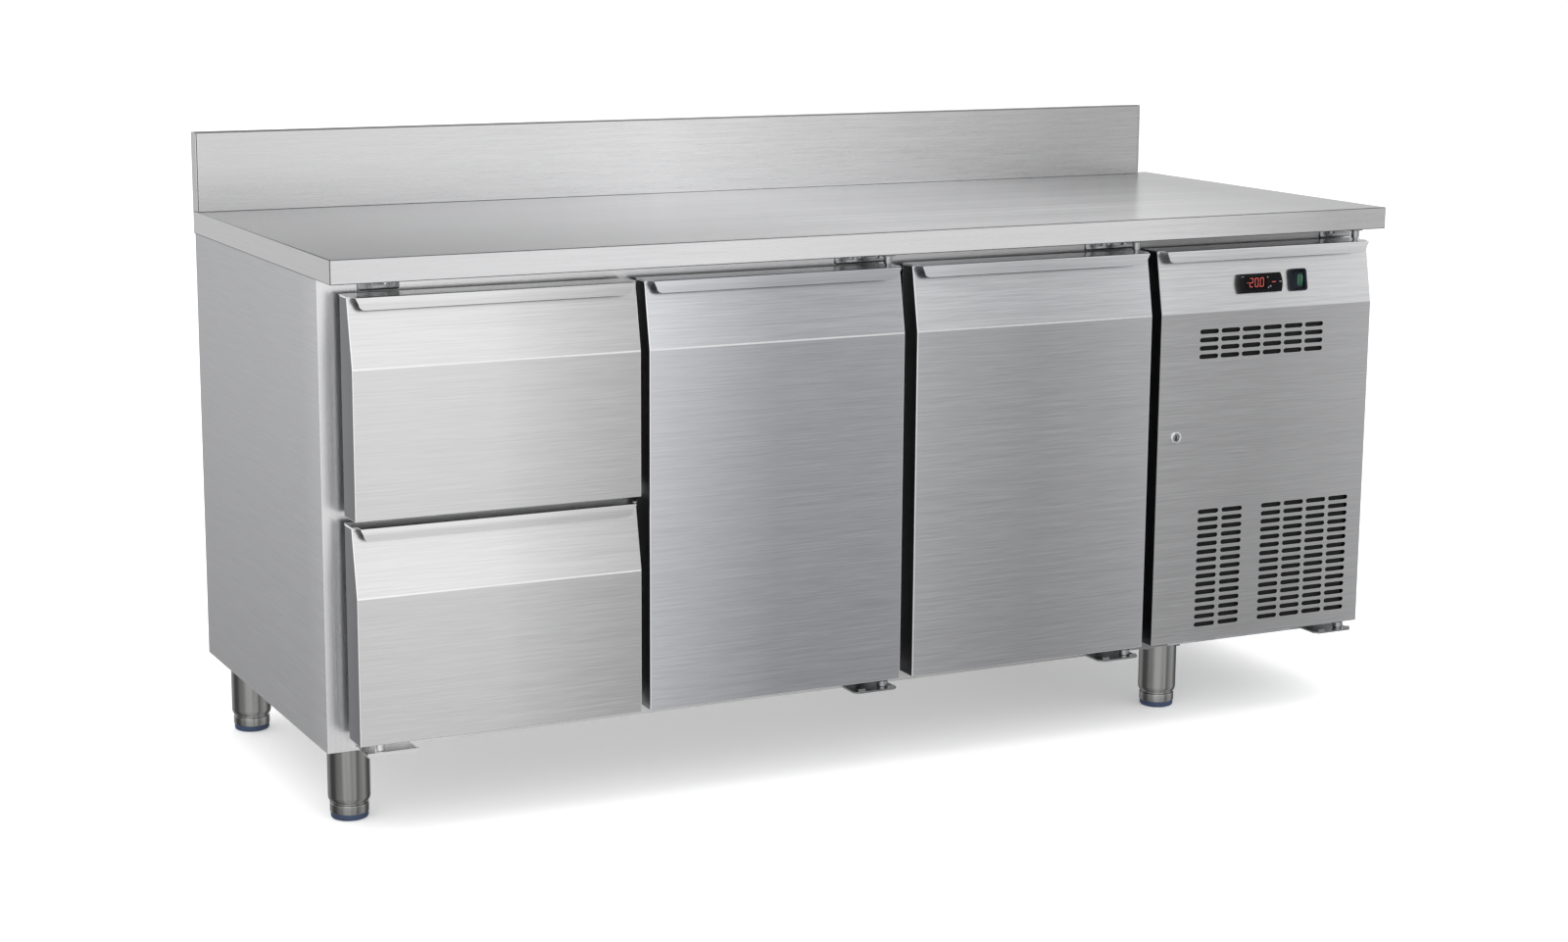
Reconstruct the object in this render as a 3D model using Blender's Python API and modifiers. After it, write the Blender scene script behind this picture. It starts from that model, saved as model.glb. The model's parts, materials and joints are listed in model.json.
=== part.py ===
"""Refrigerated counter: two drawers, two hinged doors and a louvred compressor bay.

Metres, +Z up. The counter faces -Y and stands on z = 0, centred on the origin in plan.
"""

import math

import bmesh
import bpy
from mathutils import Vector

# Driving dimensions
WIDTH = 1.795
DEPTH = 0.700
WORK_HEIGHT = 0.830
EDGE_HEIGHT = 0.035
UPSTAND_HEIGHT = 0.125
UPSTAND_DEPTH = 0.024
UPSTAND_SHORT = 0.033
UPSTAND_SEAT = 0.0006
GAP = 0.0003
BITE = 0.001
SKIN = 0.0015
WALL = 0.058

HALF = WIDTH / 2
FRONT = -DEPTH / 2
BACK = DEPTH / 2
EDGE_LOW = WORK_HEIGHT - EDGE_HEIGHT

# Cabinet
SIDE_X = HALF - 0.002
BODY_LOW = 0.112
BODY_HIGH = EDGE_LOW - GAP
FRAME_Y = -0.280
FRAME_T = 0.030
BODY_BACK = BACK - 0.002
TANK_LEFT = -SIDE_X + SKIN + GAP + WALL
TANK_RIGHT = 0.411
TANK_BACK = BODY_BACK - SKIN - GAP - WALL
FLOOR_TOP = 0.172
CEILING = 0.740
CHAMBER_RIGHT = 0.600
CHAMBER_FRONT = 0.050
PARTITION = 0.055
STILE_WIDTH = 0.030
VENT_X = (0.650, 0.850)
VENT_LOW = 0.300
VENT_PITCH = 0.030
VENT_ROWS = 9
VENT_HEIGHT = 0.010

# Fronts: the pressed face, its slanted recess and the turned-down grip lip
FACE_Y = -0.3465
FRONT_BACK = -0.295
FRONT_LOW = 0.136
FRONT_HIGH = 0.7755
FOLD_DROP = 0.100
RECESS = 0.019
LIP_HEIGHT = 0.018
LIP_END = 0.008
LIP_SLANT = 0.004
LIP_CORNER = 0.012
DRAWER_GAP = 0.010
GASKET_INSET = 0.019
GASKET_WIDTH = 0.015
GASKET_BACK = FRAME_Y - GAP
DRAWER_X = (-0.868, -0.4335)
CENTRE_X = (-0.420, 0.002)
RIGHT_X = (0.0235, 0.4485)
PANEL_X = (0.4665, 0.877)

# Hinges
PIN_INSET = 0.018
PIN_Y = -0.322
PIN_R = 0.004
PIN_CLEAR = 0.0005
PIN_REACH = 0.011
BORE_DEPTH = 0.014
BRACKET_T = 0.003
BRACKET_LIFT = 0.0035
BRACKET_NOSE = 0.012
BRACKET_LEFT = 0.053
BRACKET_RIGHT = 0.022
TONGUE_HALF = 0.014
BUSH_R = 0.007
TOP_CLEAR = 0.0015
SPARE_X = (-0.853, -0.776)

# Front posts between the bays
POST_HALF = 0.042
POST_SHEET = 0.003
CROSS_RAIL_T = 0.016
POST_1 = (DRAWER_X[1] + CENTRE_X[0]) / 2
POST_2 = (CENTRE_X[1] + RIGHT_X[0]) / 2

# Drawer slides, counted inwards from each side of the bay
RAIL_FIXED = 0.005
RAIL_MIDDLE = 0.005
RAIL_INNER = 0.004
RAIL_FRONT = -0.262
RAIL_BACK = 0.236
RAIL_FIXED_HEIGHT = 0.035
RAIL_HALF = 0.015
RUNNER_HALF = 0.011
BOX_LENGTH = 0.530
BOX_HEIGHT = 0.195
BOX_LIFT = 0.048
BOX_SHEET = 0.0015

# Shelves
SHELF_WIDTH = 0.325
SHELF_LENGTH = 0.530
SHELF_Z = 0.448
SHELF_BARS = 7
WIRE = 0.005
LEDGE = 0.0215
LEDGE_SHEET = 0.0015
LEDGE_WEB = 0.025

# Compressor bay
COIL_X = (0.615, 0.880)
COIL_Y = (-0.262, -0.212)
COIL_Z = (0.130, 0.400)
FAN_R = 0.108
FAN_HUB = 0.030
FAN_THICK = 0.016
FAN_BLADES = 5
BLADE_T = 0.0024
BLADE_PITCH = 12
MOTOR_R = 0.034
SHROUD_T = 0.020
COMPRESSOR_XY = (0.7475, 0.100)
BASE_LIP = 0.030
GLAND = (0.830, 0.200)
GLAND_R = 0.012
GLAND_PROUD = 0.0018
GLAND_LENGTH = 0.020
ENTRY_R = 0.0045

# Evaporator chamber: the fan's centre and size
FAN_2 = (TANK_RIGHT + 0.012, 0.020, 0.610)
FAN_2_R = 0.078
FAN_2_HUB = 0.024

# Louvres in the service panel; a field is its first middle X, pitch, columns, slot length,
# top row's Z and rows
SLOT_HEIGHT = 0.0052
SLOT_PITCH = 0.0134
LOUVRE_FIELDS = (
    (0.5591, 0.0411, 6, 0.0352, 0.6445, 4),
    (0.5685, 0.0468, 2, 0.0395, 0.3500, 15),
    (0.6930, 0.0452, 4, 0.0385, 0.3500, 15),
)

# Controls on the service panel
PANEL_BACK = -0.290
CONTROLLER_X = 0.6562
CONTROLLER_Z = 0.7162
CONTROLLER_SIZE = (0.085, 0.032)
CONTROLLER_CASE = (0.0705, 0.0215)
CONTROLLER_OUT = 0.0085
SWITCH_X = 0.7325
SWITCH_Z = 0.7178
SWITCH_SIZE = (0.033, 0.036)
SWITCH_CASE = (0.027, 0.030)
SWITCH_OUT = 0.006
ROCKER_SIZE = (0.020, 0.027)
ROCKER_TILT = 7
LOCK_X = 0.5003
LOCK_Z = 0.476
LOCK_R = 0.010
LOCK_BORE = 0.0062
LOCK_BODY = 0.0080
LOCK_OUT = 0.0028

# Legs
LEG_R = 0.031
LEG_WALL = 0.002
LEG_LOW = 0.0262
FOOT_R = 0.0285
FOOT_STEM_TOP = 0.080
LEG_X = (-0.850, 0.557)
LEG_Y = (-0.234, 0.269)
TURN_STEPS = 24

STEEL = (0.62, 0.62, 0.63)
PARTS = None
CUTTERS = None


def clear_scene():
    for obj in list(bpy.data.objects):
        bpy.data.objects.remove(obj, do_unlink=True)


def new_collection(name):
    collection = bpy.data.collections.new(name)
    bpy.context.scene.collection.children.link(collection)
    return collection


def material(name, color, roughness, metallic):
    made = bpy.data.materials.new(name)
    made.use_nodes = True
    shader = made.node_tree.nodes["Principled BSDF"]
    shader.inputs["Base Color"].default_value = (*color, 1)
    shader.inputs["Roughness"].default_value = roughness
    shader.inputs["Metallic"].default_value = metallic
    return made


def link(name, mesh, look, collection=None):
    """A new object that shows this mesh."""
    obj = bpy.data.objects.new(name, mesh)
    (collection or PARTS).objects.link(obj)
    if look:
        obj.data.materials.append(look)
    return obj


def box(name, low, high, look, collection=None):
    """A block between two corners, with its origin at its middle."""
    low = Vector(low)
    high = Vector(high)
    size = high - low
    mesh = bpy.data.meshes.new(name)
    bm = bmesh.new()
    bmesh.ops.create_cube(bm, size=1.0)
    bmesh.ops.scale(bm, vec=size, verts=bm.verts)
    bm.to_mesh(mesh)
    bm.free()
    obj = link(name, mesh, look, collection)
    obj.location = (low + high) / 2
    return obj


def rod(name, base, radius, length, look, axis="Z", sides=16, collection=None):
    """A cylinder that runs from base along an axis, with its origin at its middle."""
    mesh = bpy.data.meshes.new(name)
    bm = bmesh.new()
    bmesh.ops.create_cone(
        bm, cap_ends=True, segments=sides, radius1=radius, radius2=radius, depth=length
    )
    bm.to_mesh(mesh)
    bm.free()
    obj = link(name, mesh, look, collection)
    turns = {"X": (0, math.pi / 2, 0), "Y": (math.pi / 2, 0, 0), "Z": (0, 0, 0)}
    steps = {"X": (1, 0, 0), "Y": (0, 1, 0), "Z": (0, 0, 1)}
    obj.rotation_euler = turns[axis]
    obj.location = Vector(base) + Vector(steps[axis]) * length / 2
    return obj


def prism(name, outline, start, end, look, axis="X", collection=None):
    """A flat outline extruded along an axis: (y, z) along X, (x, y) along Z, (x, z) along Y."""
    curve = bpy.data.curves.new(name, "CURVE")
    curve.dimensions = "2D"
    curve.fill_mode = "BOTH"
    curve.extrude = (end - start) / 2
    spline = curve.splines.new("POLY")
    spline.points.add(len(outline) - 1)
    for point, (u, v) in zip(spline.points, outline):
        point.co = (u, v, 0, 1)
    spline.use_cyclic_u = True
    flat = bpy.data.objects.new(name + "_outline", curve)
    bpy.context.scene.collection.objects.link(flat)
    middle = (start + end) / 2
    if axis == "X":
        flat.rotation_euler = (math.pi / 2, 0, math.pi / 2)
        flat.location = (middle, 0, 0)
    elif axis == "Y":
        flat.rotation_euler = (math.pi / 2, 0, 0)
        flat.location = (0, middle, 0)
    else:
        flat.location = (0, 0, middle)
    return solid_from_curve(name, flat, look, collection)


def solid_from_curve(name, flat, look, collection=None):
    """A welded mesh object in place of a curve."""
    bpy.context.view_layer.update()
    graph = bpy.context.evaluated_depsgraph_get()
    mesh = bpy.data.meshes.new_from_object(flat.evaluated_get(graph))
    mesh.name = name
    mesh.materials.clear()
    bm = bmesh.new()
    bm.from_mesh(mesh)
    bmesh.ops.remove_doubles(bm, verts=bm.verts, dist=0.00001)
    bmesh.ops.recalc_face_normals(bm, faces=bm.faces)
    bm.to_mesh(mesh)
    bm.free()
    obj = link(name, mesh, look, collection)
    obj.matrix_world = flat.matrix_world
    bpy.data.objects.remove(flat, do_unlink=True)
    return obj


def turned(name, profile, place, look, axis="Z", steps=TURN_STEPS):
    """A solid of revolution; the profile runs (radius, height) from the top down."""
    mesh = bpy.data.meshes.new(name)
    points = [(radius, 0, height) for radius, height in profile]
    edges = [(i, i + 1) for i in range(len(points) - 1)]
    mesh.from_pydata(points, edges, [])
    obj = link(name, mesh, look)
    screw = obj.modifiers.new("Turn", "SCREW")
    screw.steps = steps
    screw.render_steps = steps
    screw.use_merge_vertices = True
    screw.merge_threshold = 0.00005
    screw.use_smooth_shade = True
    obj.location = place
    if axis == "X":
        obj.rotation_euler = (0, math.pi / 2, 0)
    if axis == "Y":
        obj.rotation_euler = (-math.pi / 2, 0, 0)
    return obj


def arc(centre, radius, first, last, count):
    """Points on a circle, from one angle to another in degrees."""
    points = []
    for i in range(count + 1):
        angle = math.radians(first + (last - first) * i / count)
        points.append(
            (centre[0] + radius * math.cos(angle), centre[1] + radius * math.sin(angle))
        )
    return points


def combine(obj, other, operation):
    """Cuts other from obj, or joins it on; other stays as a hidden cutter."""
    for collection in list(other.users_collection):
        collection.objects.unlink(other)
    CUTTERS.objects.link(other)
    other.hide_render = True
    other.display_type = "WIRE"
    step = obj.modifiers.new(operation.title(), "BOOLEAN")
    step.operation = operation
    step.solver = "EXACT"
    step.object = other
    return obj


def cut(obj, *others):
    for other in others:
        combine(obj, other, "DIFFERENCE")
    return obj


def join(obj, *others):
    for other in others:
        combine(obj, other, "UNION")
    return obj


def merged_cutter(name, boxes):
    """One hidden cutter made of many blocks that don't touch each other."""
    mesh = bpy.data.meshes.new(name)
    bm = bmesh.new()
    for low, high in boxes:
        low = Vector(low)
        high = Vector(high)
        made = bmesh.ops.create_cube(bm, size=1.0)["verts"]
        bmesh.ops.scale(bm, vec=high - low, verts=made)
        bmesh.ops.translate(bm, vec=(low + high) / 2, verts=made)
    bm.to_mesh(mesh)
    bm.free()
    return link(name, mesh, None, CUTTERS)


def soften(obj, width, segments=2, angle=50):
    """Rounds the sharp edges."""
    bevel = obj.modifiers.new("Round", "BEVEL")
    bevel.width = width
    bevel.segments = segments
    bevel.limit_method = "ANGLE"
    bevel.angle_limit = math.radians(angle)
    return obj


def pivot(name, place):
    """An empty on a joint's axis."""
    empty = bpy.data.objects.new(name, None)
    empty.empty_display_size = 0.03
    PARTS.objects.link(empty)
    empty.location = place
    return empty


def hang(parent, *children):
    """Parents pieces to an empty without moving them."""
    for child in children:
        child.parent = parent
        child.location = child.location - parent.location
        for modifier in child.modifiers:
            cutter = modifier.object if modifier.type == "BOOLEAN" else None
            if cutter and cutter.parent is None:
                cutter.parent = parent
                cutter.location = cutter.location - parent.location


# --- cabinet -------------------------------------------------------------------------


def worktop(steel):
    """A folded tray, hollow below, with a flange turned in all round and a seat for the upstand."""
    top = box("worktop", (-HALF, FRONT, EDGE_LOW), (HALF, BACK, WORK_HEIGHT), steel)
    soften(top, 0.0015)
    hollow = box(
        "worktop_hollow",
        (-HALF + SKIN, FRONT + SKIN, EDGE_LOW + SKIN),
        (HALF - SKIN, BACK - SKIN, WORK_HEIGHT - SKIN),
        None,
    )
    mouth = box(
        "worktop_mouth",
        (-HALF + STILE_WIDTH, FRAME_Y + 0.010, EDGE_LOW - SKIN),
        (HALF - STILE_WIDTH, BACK - STILE_WIDTH, EDGE_LOW + 2 * SKIN),
        None,
    )
    seat = box(
        "upstand_seat",
        (-HALF - BITE, BACK - UPSTAND_DEPTH - GAP, WORK_HEIGHT - UPSTAND_SEAT),
        (HALF - UPSTAND_SHORT + GAP, BACK + BITE, WORK_HEIGHT + BITE),
        None,
    )
    return cut(top, hollow, mouth, seat)


def backsplash(steel):
    """A folded upstand seated in a shallow step along the rear edge, hollow and open below."""
    low = (-HALF, BACK - UPSTAND_DEPTH, WORK_HEIGHT - UPSTAND_SEAT + GAP)
    high = (HALF - UPSTAND_SHORT, BACK, WORK_HEIGHT + UPSTAND_HEIGHT)
    upstand = soften(box("backsplash", low, high, steel), 0.003)
    hollow = box(
        "backsplash_hollow",
        (low[0] + SKIN, low[1] + SKIN, low[2] - SKIN),
        (high[0] - SKIN, high[1] - SKIN, high[2] - SKIN),
        None,
    )
    return cut(upstand, hollow)


def side_panel(name, side, flange, steel):
    """An outer side sheet with its front edge folded in as a stile."""
    outer = side * SIDE_X
    inner = side * (SIDE_X - SKIN)
    flange_end = side * (SIDE_X - SKIN - flange)
    outline = [
        (outer, FRAME_Y),
        (outer, BODY_BACK - SKIN - GAP),
        (inner, BODY_BACK - SKIN - GAP),
        (inner, FRAME_Y + SKIN),
        (flange_end, FRAME_Y + SKIN),
        (flange_end, FRAME_Y),
    ]
    return prism(name, outline, BODY_LOW, BODY_HIGH, steel, "Z")


def back_panel(steel):
    """The rear sheet, with vent slots behind the compressor and the supply cable's gland."""
    panel = box(
        "back_panel",
        (-SIDE_X, BODY_BACK - SKIN, BODY_LOW),
        (SIDE_X, BODY_BACK, BODY_HIGH),
        steel,
    )
    slots = []
    for row in range(VENT_ROWS):
        height = VENT_LOW + row * VENT_PITCH
        low = (VENT_X[0], BODY_BACK - 2 * SKIN, height)
        slots.append((low, (VENT_X[1], BODY_BACK + SKIN, height + VENT_HEIGHT)))
    x, z = GLAND
    inner = (x, BODY_BACK - GLAND_LENGTH, z)
    gland = rod("cable_gland", inner, GLAND_R, GLAND_LENGTH + GLAND_PROUD, None, "Y", 6)
    bottom = (x, BODY_BACK - 0.6 * GLAND_LENGTH, z)
    entry = rod("cable_entry", bottom, ENTRY_R, GLAND_LENGTH, None, "Y")
    cut(panel, merged_cutter("back_vents", slots))
    return cut(join(panel, gland), entry)


def left_wall(foam):
    """The insulated left wall, which carries the left fixed rails of both drawers."""
    wall = box(
        "left_wall",
        (-SIDE_X + SKIN + GAP, FRAME_Y + SKIN + GAP, BODY_LOW),
        (TANK_LEFT, TANK_BACK, BODY_HIGH),
        foam,
    )
    return join(wall, *fixed_rails(TANK_LEFT, 1))


def rear_wall(foam):
    return box(
        "rear_wall",
        (-SIDE_X + SKIN + GAP, TANK_BACK + GAP, BODY_LOW),
        (CHAMBER_RIGHT, BODY_BACK - SKIN - GAP, BODY_HIGH),
        foam,
    )


def tank_floor(foam):
    """The insulated floor, with the drawer bay's unused lower hinge angle on its front."""
    floor = box(
        "tank_floor",
        (TANK_LEFT + GAP, FRAME_Y, BODY_LOW),
        (CHAMBER_RIGHT - PARTITION - GAP, TANK_BACK, FLOOR_TOP),
        foam,
    )
    left, right = SPARE_X
    pin_x = left + BRACKET_RIGHT
    angle = hinge_angle("spare", pin_x, left, right, TANK_LEFT + 2 * GAP, FRAME_Y + BITE)
    return join(floor, *angle)


def tank_ceiling(foam):
    """The insulated ceiling; its top rail runs on over the compressor bay."""
    left = TANK_LEFT + GAP
    right = SIDE_X - SKIN - GAP
    rail_back = FRAME_Y + SKIN + GAP + FRAME_T
    step = SIDE_X - SKIN - STILE_WIDTH - GAP
    outline = [
        (left, FRAME_Y),
        (step, FRAME_Y),
        (step, FRAME_Y + SKIN + GAP),
        (right, FRAME_Y + SKIN + GAP),
        (right, rail_back),
        (CHAMBER_RIGHT, rail_back),
        (CHAMBER_RIGHT, TANK_BACK),
        (left, TANK_BACK),
    ]
    ceiling = prism("tank_ceiling", outline, CEILING, BODY_HIGH, foam, "Z")
    low = FRONT_HIGH + TOP_CLEAR
    high = BODY_HIGH - BITE
    front = FRAME_Y - GAP - BRACKET_T
    plate = box("spare_plate", (left + GAP, front, low), (SPARE_X[1], FRAME_Y + BITE, high), None)
    return join(ceiling, plate)


def compressor_partition(foam):
    """The insulated wall between tank and compressor, with the front of the evaporator chamber."""
    outline = [
        (TANK_RIGHT, FRAME_Y),
        (CHAMBER_RIGHT, FRAME_Y),
        (CHAMBER_RIGHT, TANK_BACK),
        (CHAMBER_RIGHT - PARTITION, TANK_BACK),
        (CHAMBER_RIGHT - PARTITION, FRAME_Y + CHAMBER_FRONT),
        (TANK_RIGHT, FRAME_Y + CHAMBER_FRONT),
    ]
    wall = prism("compressor_partition", outline, FLOOR_TOP + GAP, CEILING - GAP, foam, "Z")
    foot = box(
        "partition_foot",
        (CHAMBER_RIGHT - PARTITION, FRAME_Y, BODY_LOW),
        (CHAMBER_RIGHT, TANK_BACK, FLOOR_TOP + 2 * GAP),
        None,
    )
    return join(wall, foot)


def compressor_base(steel):
    """The tray under the compressor, folded up at its front between the stiles."""
    behind_stile = FRAME_Y + SKIN + GAP
    tray = box(
        "compressor_base",
        (CHAMBER_RIGHT + GAP, behind_stile, BODY_LOW),
        (SIDE_X - SKIN - GAP, BODY_BACK - SKIN - GAP, BODY_LOW + SKIN),
        steel,
    )
    outline = [
        (FRAME_Y, BODY_LOW),
        (behind_stile + SKIN, BODY_LOW),
        (behind_stile + SKIN, BODY_LOW + SKIN),
        (FRAME_Y + SKIN, BODY_LOW + SKIN),
        (FRAME_Y + SKIN, BODY_LOW + BASE_LIP),
        (FRAME_Y, BODY_LOW + BASE_LIP),
    ]
    right = SIDE_X - SKIN - STILE_WIDTH - GAP
    return join(tray, prism("compressor_base_lip", outline, CHAMBER_RIGHT + GAP, right, None))


def fixed_rails(face, side, height=RAIL_FIXED_HEIGHT):
    """Blocks for a bay side's fixed drawer rails; side is +1 where the bay lies towards +X."""
    rails = []
    for name, low in (("upper", box_low(1)), ("lower", box_low(0))):
        middle = low + BOX_HEIGHT / 2
        near = face + side * RAIL_FIXED
        far = face - side * 2 * BITE
        rails.append(
            box(
                f"{name}_fixed_rail_{'left' if side > 0 else 'right'}",
                (min(near, far), RAIL_FRONT, middle - height / 2),
                (max(near, far), TANK_BACK - 0.010, middle + height / 2),
                None,
            )
        )
    return rails


def runner(name, face, side):
    """An angle that carries a shelf's edge; side is +1 where the bay lies towards +X."""
    near = face - side * LEDGE_SHEET
    tip = face + side * LEDGE
    front = FRAME_Y + FRAME_T - 2 * BITE
    back = TANK_BACK - GAP
    low = SHELF_Z - GAP - LEDGE_SHEET
    ledge = box(
        name + "_ledge",
        (min(near, tip), front, low),
        (max(near, tip), back, SHELF_Z - GAP),
        None,
    )
    web_far = face + side * LEDGE_SHEET / 3
    web = box(
        name + "_web",
        (min(near, web_far), front, low),
        (max(near, web_far), back, SHELF_Z + LEDGE_WEB),
        None,
    )
    return [ledge, web]


def post(name, middle, steel):
    """An upright channel between two bays, open at the rear."""
    low = (middle - POST_HALF, FRAME_Y, FLOOR_TOP + GAP)
    high = (middle + POST_HALF, FRAME_Y + FRAME_T, CEILING - GAP)
    channel = box(name, low, high, steel)
    hollow = box(
        name + "_hollow",
        (low[0] + POST_SHEET, low[1] + POST_SHEET, low[2] + POST_SHEET),
        (high[0] - POST_SHEET, high[1] + POST_SHEET, high[2] - POST_SHEET),
        None,
    )
    return cut(channel, hollow)


def cross_rail():
    """The rail between the two drawers, which both seals close on."""
    seal = GASKET_INSET + GASKET_WIDTH + SKIN
    return box(
        "drawer_cross_rail",
        (TANK_LEFT + GAP, FRAME_Y, drawer_low(0) + front_height() - seal),
        (POST_1 - POST_HALF + BITE, FRAME_Y + CROSS_RAIL_T, drawer_low(1) + seal),
        None,
    )


def mullion_1(steel):
    """The post between drawers and centre door, with all that is welded to it."""
    made = post("mullion_1", POST_1, steel)
    rails = fixed_rails(POST_1 - POST_HALF, -1)
    return join(made, cross_rail(), *rails, *runner("centre_left", POST_1 + POST_HALF, 1))


def mullion_2(steel):
    """The post between the doors, with a shelf runner on each side."""
    made = post("mullion_2", POST_2, steel)
    left = runner("centre_right", POST_2 - POST_HALF, -1)
    return join(made, *left, *runner("right_left", POST_2 + POST_HALF, 1))


def evaporator_cover(steel):
    """The air panel at the tank's right end, with a fan hole, slots and a shelf runner."""
    front = FRAME_Y + CHAMBER_FRONT + GAP
    back = TANK_BACK - GAP
    panel = box(
        "evaporator_cover",
        (TANK_RIGHT, front, FLOOR_TOP + GAP),
        (TANK_RIGHT + SKIN, back, CEILING - GAP),
        steel,
    )
    ledge = box(
        "cover_ledge",
        (TANK_RIGHT - LEDGE, front, SHELF_Z - GAP - LEDGE_SHEET),
        (TANK_RIGHT + BITE, back, SHELF_Z - GAP),
        None,
    )
    near = TANK_RIGHT - 0.005
    far = TANK_RIGHT + 0.005
    hole_r = FAN_2_R + 0.006
    hole = rod("fan_hole", (near, FAN_2[1], FAN_2[2]), hole_r, 2 * (far - near), None, "X", 24)
    slots = []
    for row in range(6):
        height = 0.220 + row * 0.028
        slots.append(((near, -0.120, height), (far, 0.180, height + 0.010)))
    join(panel, ledge)
    return cut(panel, hole, merged_cutter("cover_slots", slots))


def evaporator_coil(metal):
    """The finned evaporator block, with its fan motor standing on its face."""
    coil = box(
        "evaporator_coil",
        (TANK_RIGHT + 0.040, -0.130, CEILING - 0.245),
        (CHAMBER_RIGHT - PARTITION - GAP, 0.170, CEILING - GAP),
        metal,
    )
    motor = rod(
        "evaporator_motor", (FAN_2[0] + 0.0085, FAN_2[1], FAN_2[2]), 0.028, 0.024, None, "X"
    )
    return join(coil, motor)


def fan(name, place, radius, hub_r, axis, look, thick=FAN_THICK, blades=FAN_BLADES):
    """A fan: a hub and pitched blades, joined, with its origin on its axis."""
    hub = rod(name, (0, 0, -thick / 2), hub_r, thick, look, "Z", 20)
    root = hub_r - 4 * BITE
    half = 0.3 * radius
    for i in range(blades):
        blade = box(
            f"{name}_blade_{i}",
            (root, -half, -BLADE_T / 2),
            (radius, half, BLADE_T / 2),
            None,
        )
        # Each blade is pitched about its own length and then turned to its place.
        turn = 2 * math.pi * i / blades
        reach = (root + radius) / 2
        blade.rotation_euler = (math.radians(BLADE_PITCH), 0, turn)
        blade.location = (reach * math.cos(turn), reach * math.sin(turn), 0)
        blade.parent = hub
        join(hub, blade)
    hub.location = place
    if axis == "X":
        hub.rotation_euler = (0, math.pi / 2, 0)
    else:
        hub.rotation_euler = (math.pi / 2, 0, 0)
    return hub


# --- fronts --------------------------------------------------------------------------


def front_height():
    """Each drawer front's height."""
    return (FRONT_HIGH - FRONT_LOW - DRAWER_GAP) / 2


def drawer_low(index):
    """Lower edge of a drawer front; 0 is the lower drawer and 1 the upper."""
    return FRONT_LOW + index * (front_height() + DRAWER_GAP)


def box_low(index):
    """Lower face of a drawer's box."""
    return drawer_low(index) + BOX_LIFT


def front_outline(low, high, rear):
    """Section of a front in (y, z): face, fold, slanted recess, top and turned-down lip."""
    fold = high - FOLD_DROP
    return [
        (rear, low),
        (FACE_Y, low),
        (FACE_Y, fold),
        (FACE_Y + RECESS, high - SKIN),
        (FACE_Y + SKIN, high - SKIN),
        (FACE_Y + SKIN, high - LIP_HEIGHT),
        (FACE_Y, high - LIP_HEIGHT),
        (FACE_Y, high),
        (rear, high),
    ]


def inner_outline(low, high, rear, inset):
    """Section of the space inside a front's sheet, set in by this much."""
    fold = high - FOLD_DROP
    return [
        (rear, low + inset),
        (FACE_Y + inset, low + inset),
        (FACE_Y + inset, fold),
        (FACE_Y + RECESS + inset, high - inset),
        (rear, high - inset),
    ]


def lip_corner(name, edge, side, high):
    """Cutter that trims an end of the lip to a slant with a round corner; side +1 is a left end."""
    low = high - LIP_HEIGHT
    past = 2 * BITE
    rise = 0.7 * LIP_CORNER
    foot = LIP_END + LIP_SLANT
    outline = [(edge - side * past, high + past), (edge + side * LIP_END, high + past)]
    outline.append((edge + side * foot, low + rise))
    for x, z in arc((0, 0), 1.0, 180, 270, 4)[1:]:
        across = foot + LIP_CORNER * (1 + x)
        outline.append((edge + side * across, low - GAP + rise * (1 + z)))
    outline.append((edge + side * (foot + LIP_CORNER), low - past))
    outline.append((edge - side * past, low - past))
    return prism(name, outline, FACE_Y - past, FACE_Y + RECESS - 0.0036, None, "Y")


def front_skin(name, span, low, high, rear, steel):
    """A front's folded sheet, open at the rear, with its grip lip trimmed at both ends."""
    skin = prism(name, front_outline(low, high, rear), span[0], span[1], steel)
    hollow = prism(
        name + "_hollow",
        inner_outline(low, high, rear + 0.010, SKIN),
        span[0] + SKIN,
        span[1] - SKIN,
        None,
    )
    left = lip_corner(name + "_lip_left", span[0], 1, high)
    right = lip_corner(name + "_lip_right", span[1], -1, high)
    return cut(skin, hollow, left, right)


def front_core(name, span, low, high, rear, foam):
    """The foam and inner sheet that fill a front."""
    inset = SKIN + GAP
    outline = inner_outline(low, high, rear, inset)
    return prism(name, outline, span[0] + inset, span[1] - inset, foam)


def gasket(name, span, low, high, rubber):
    """The magnetic seal round a front's rear face."""
    left = span[0] + GASKET_INSET
    right = span[1] - GASKET_INSET
    ring = box(
        name,
        (left, FRONT_BACK + GAP, low + GASKET_INSET),
        (right, GASKET_BACK, high - GASKET_INSET),
        rubber,
    )
    window = box(
        name + "_window",
        (left + GASKET_WIDTH, FRONT_BACK - 0.01, low + GASKET_INSET + GASKET_WIDTH),
        (right - GASKET_WIDTH, GASKET_BACK + 0.01, high - GASKET_INSET - GASKET_WIDTH),
        None,
    )
    return cut(ring, window)


def pin_bores(name, pin_x, low, high):
    """Cutters for the two holes that a swinging front turns on."""
    bores = []
    for end, base in (("top", high - BORE_DEPTH), ("bottom", low - BITE)):
        place = (pin_x, PIN_Y, base)
        bores.append(rod(f"{name}_{end}", place, PIN_R + PIN_CLEAR, BORE_DEPTH + BITE, None))
    return bores


def spare_bore(name, pin_x, high, *pieces):
    """The unused hole for the other hand of hinge, in the top of a front."""
    base = (pin_x, PIN_Y, high - BORE_DEPTH)
    for i, piece in enumerate(pieces):
        cut(piece, rod(f"{name}_spare_{i}", base, PIN_R, BORE_DEPTH + BITE, None, sides=12))


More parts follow.
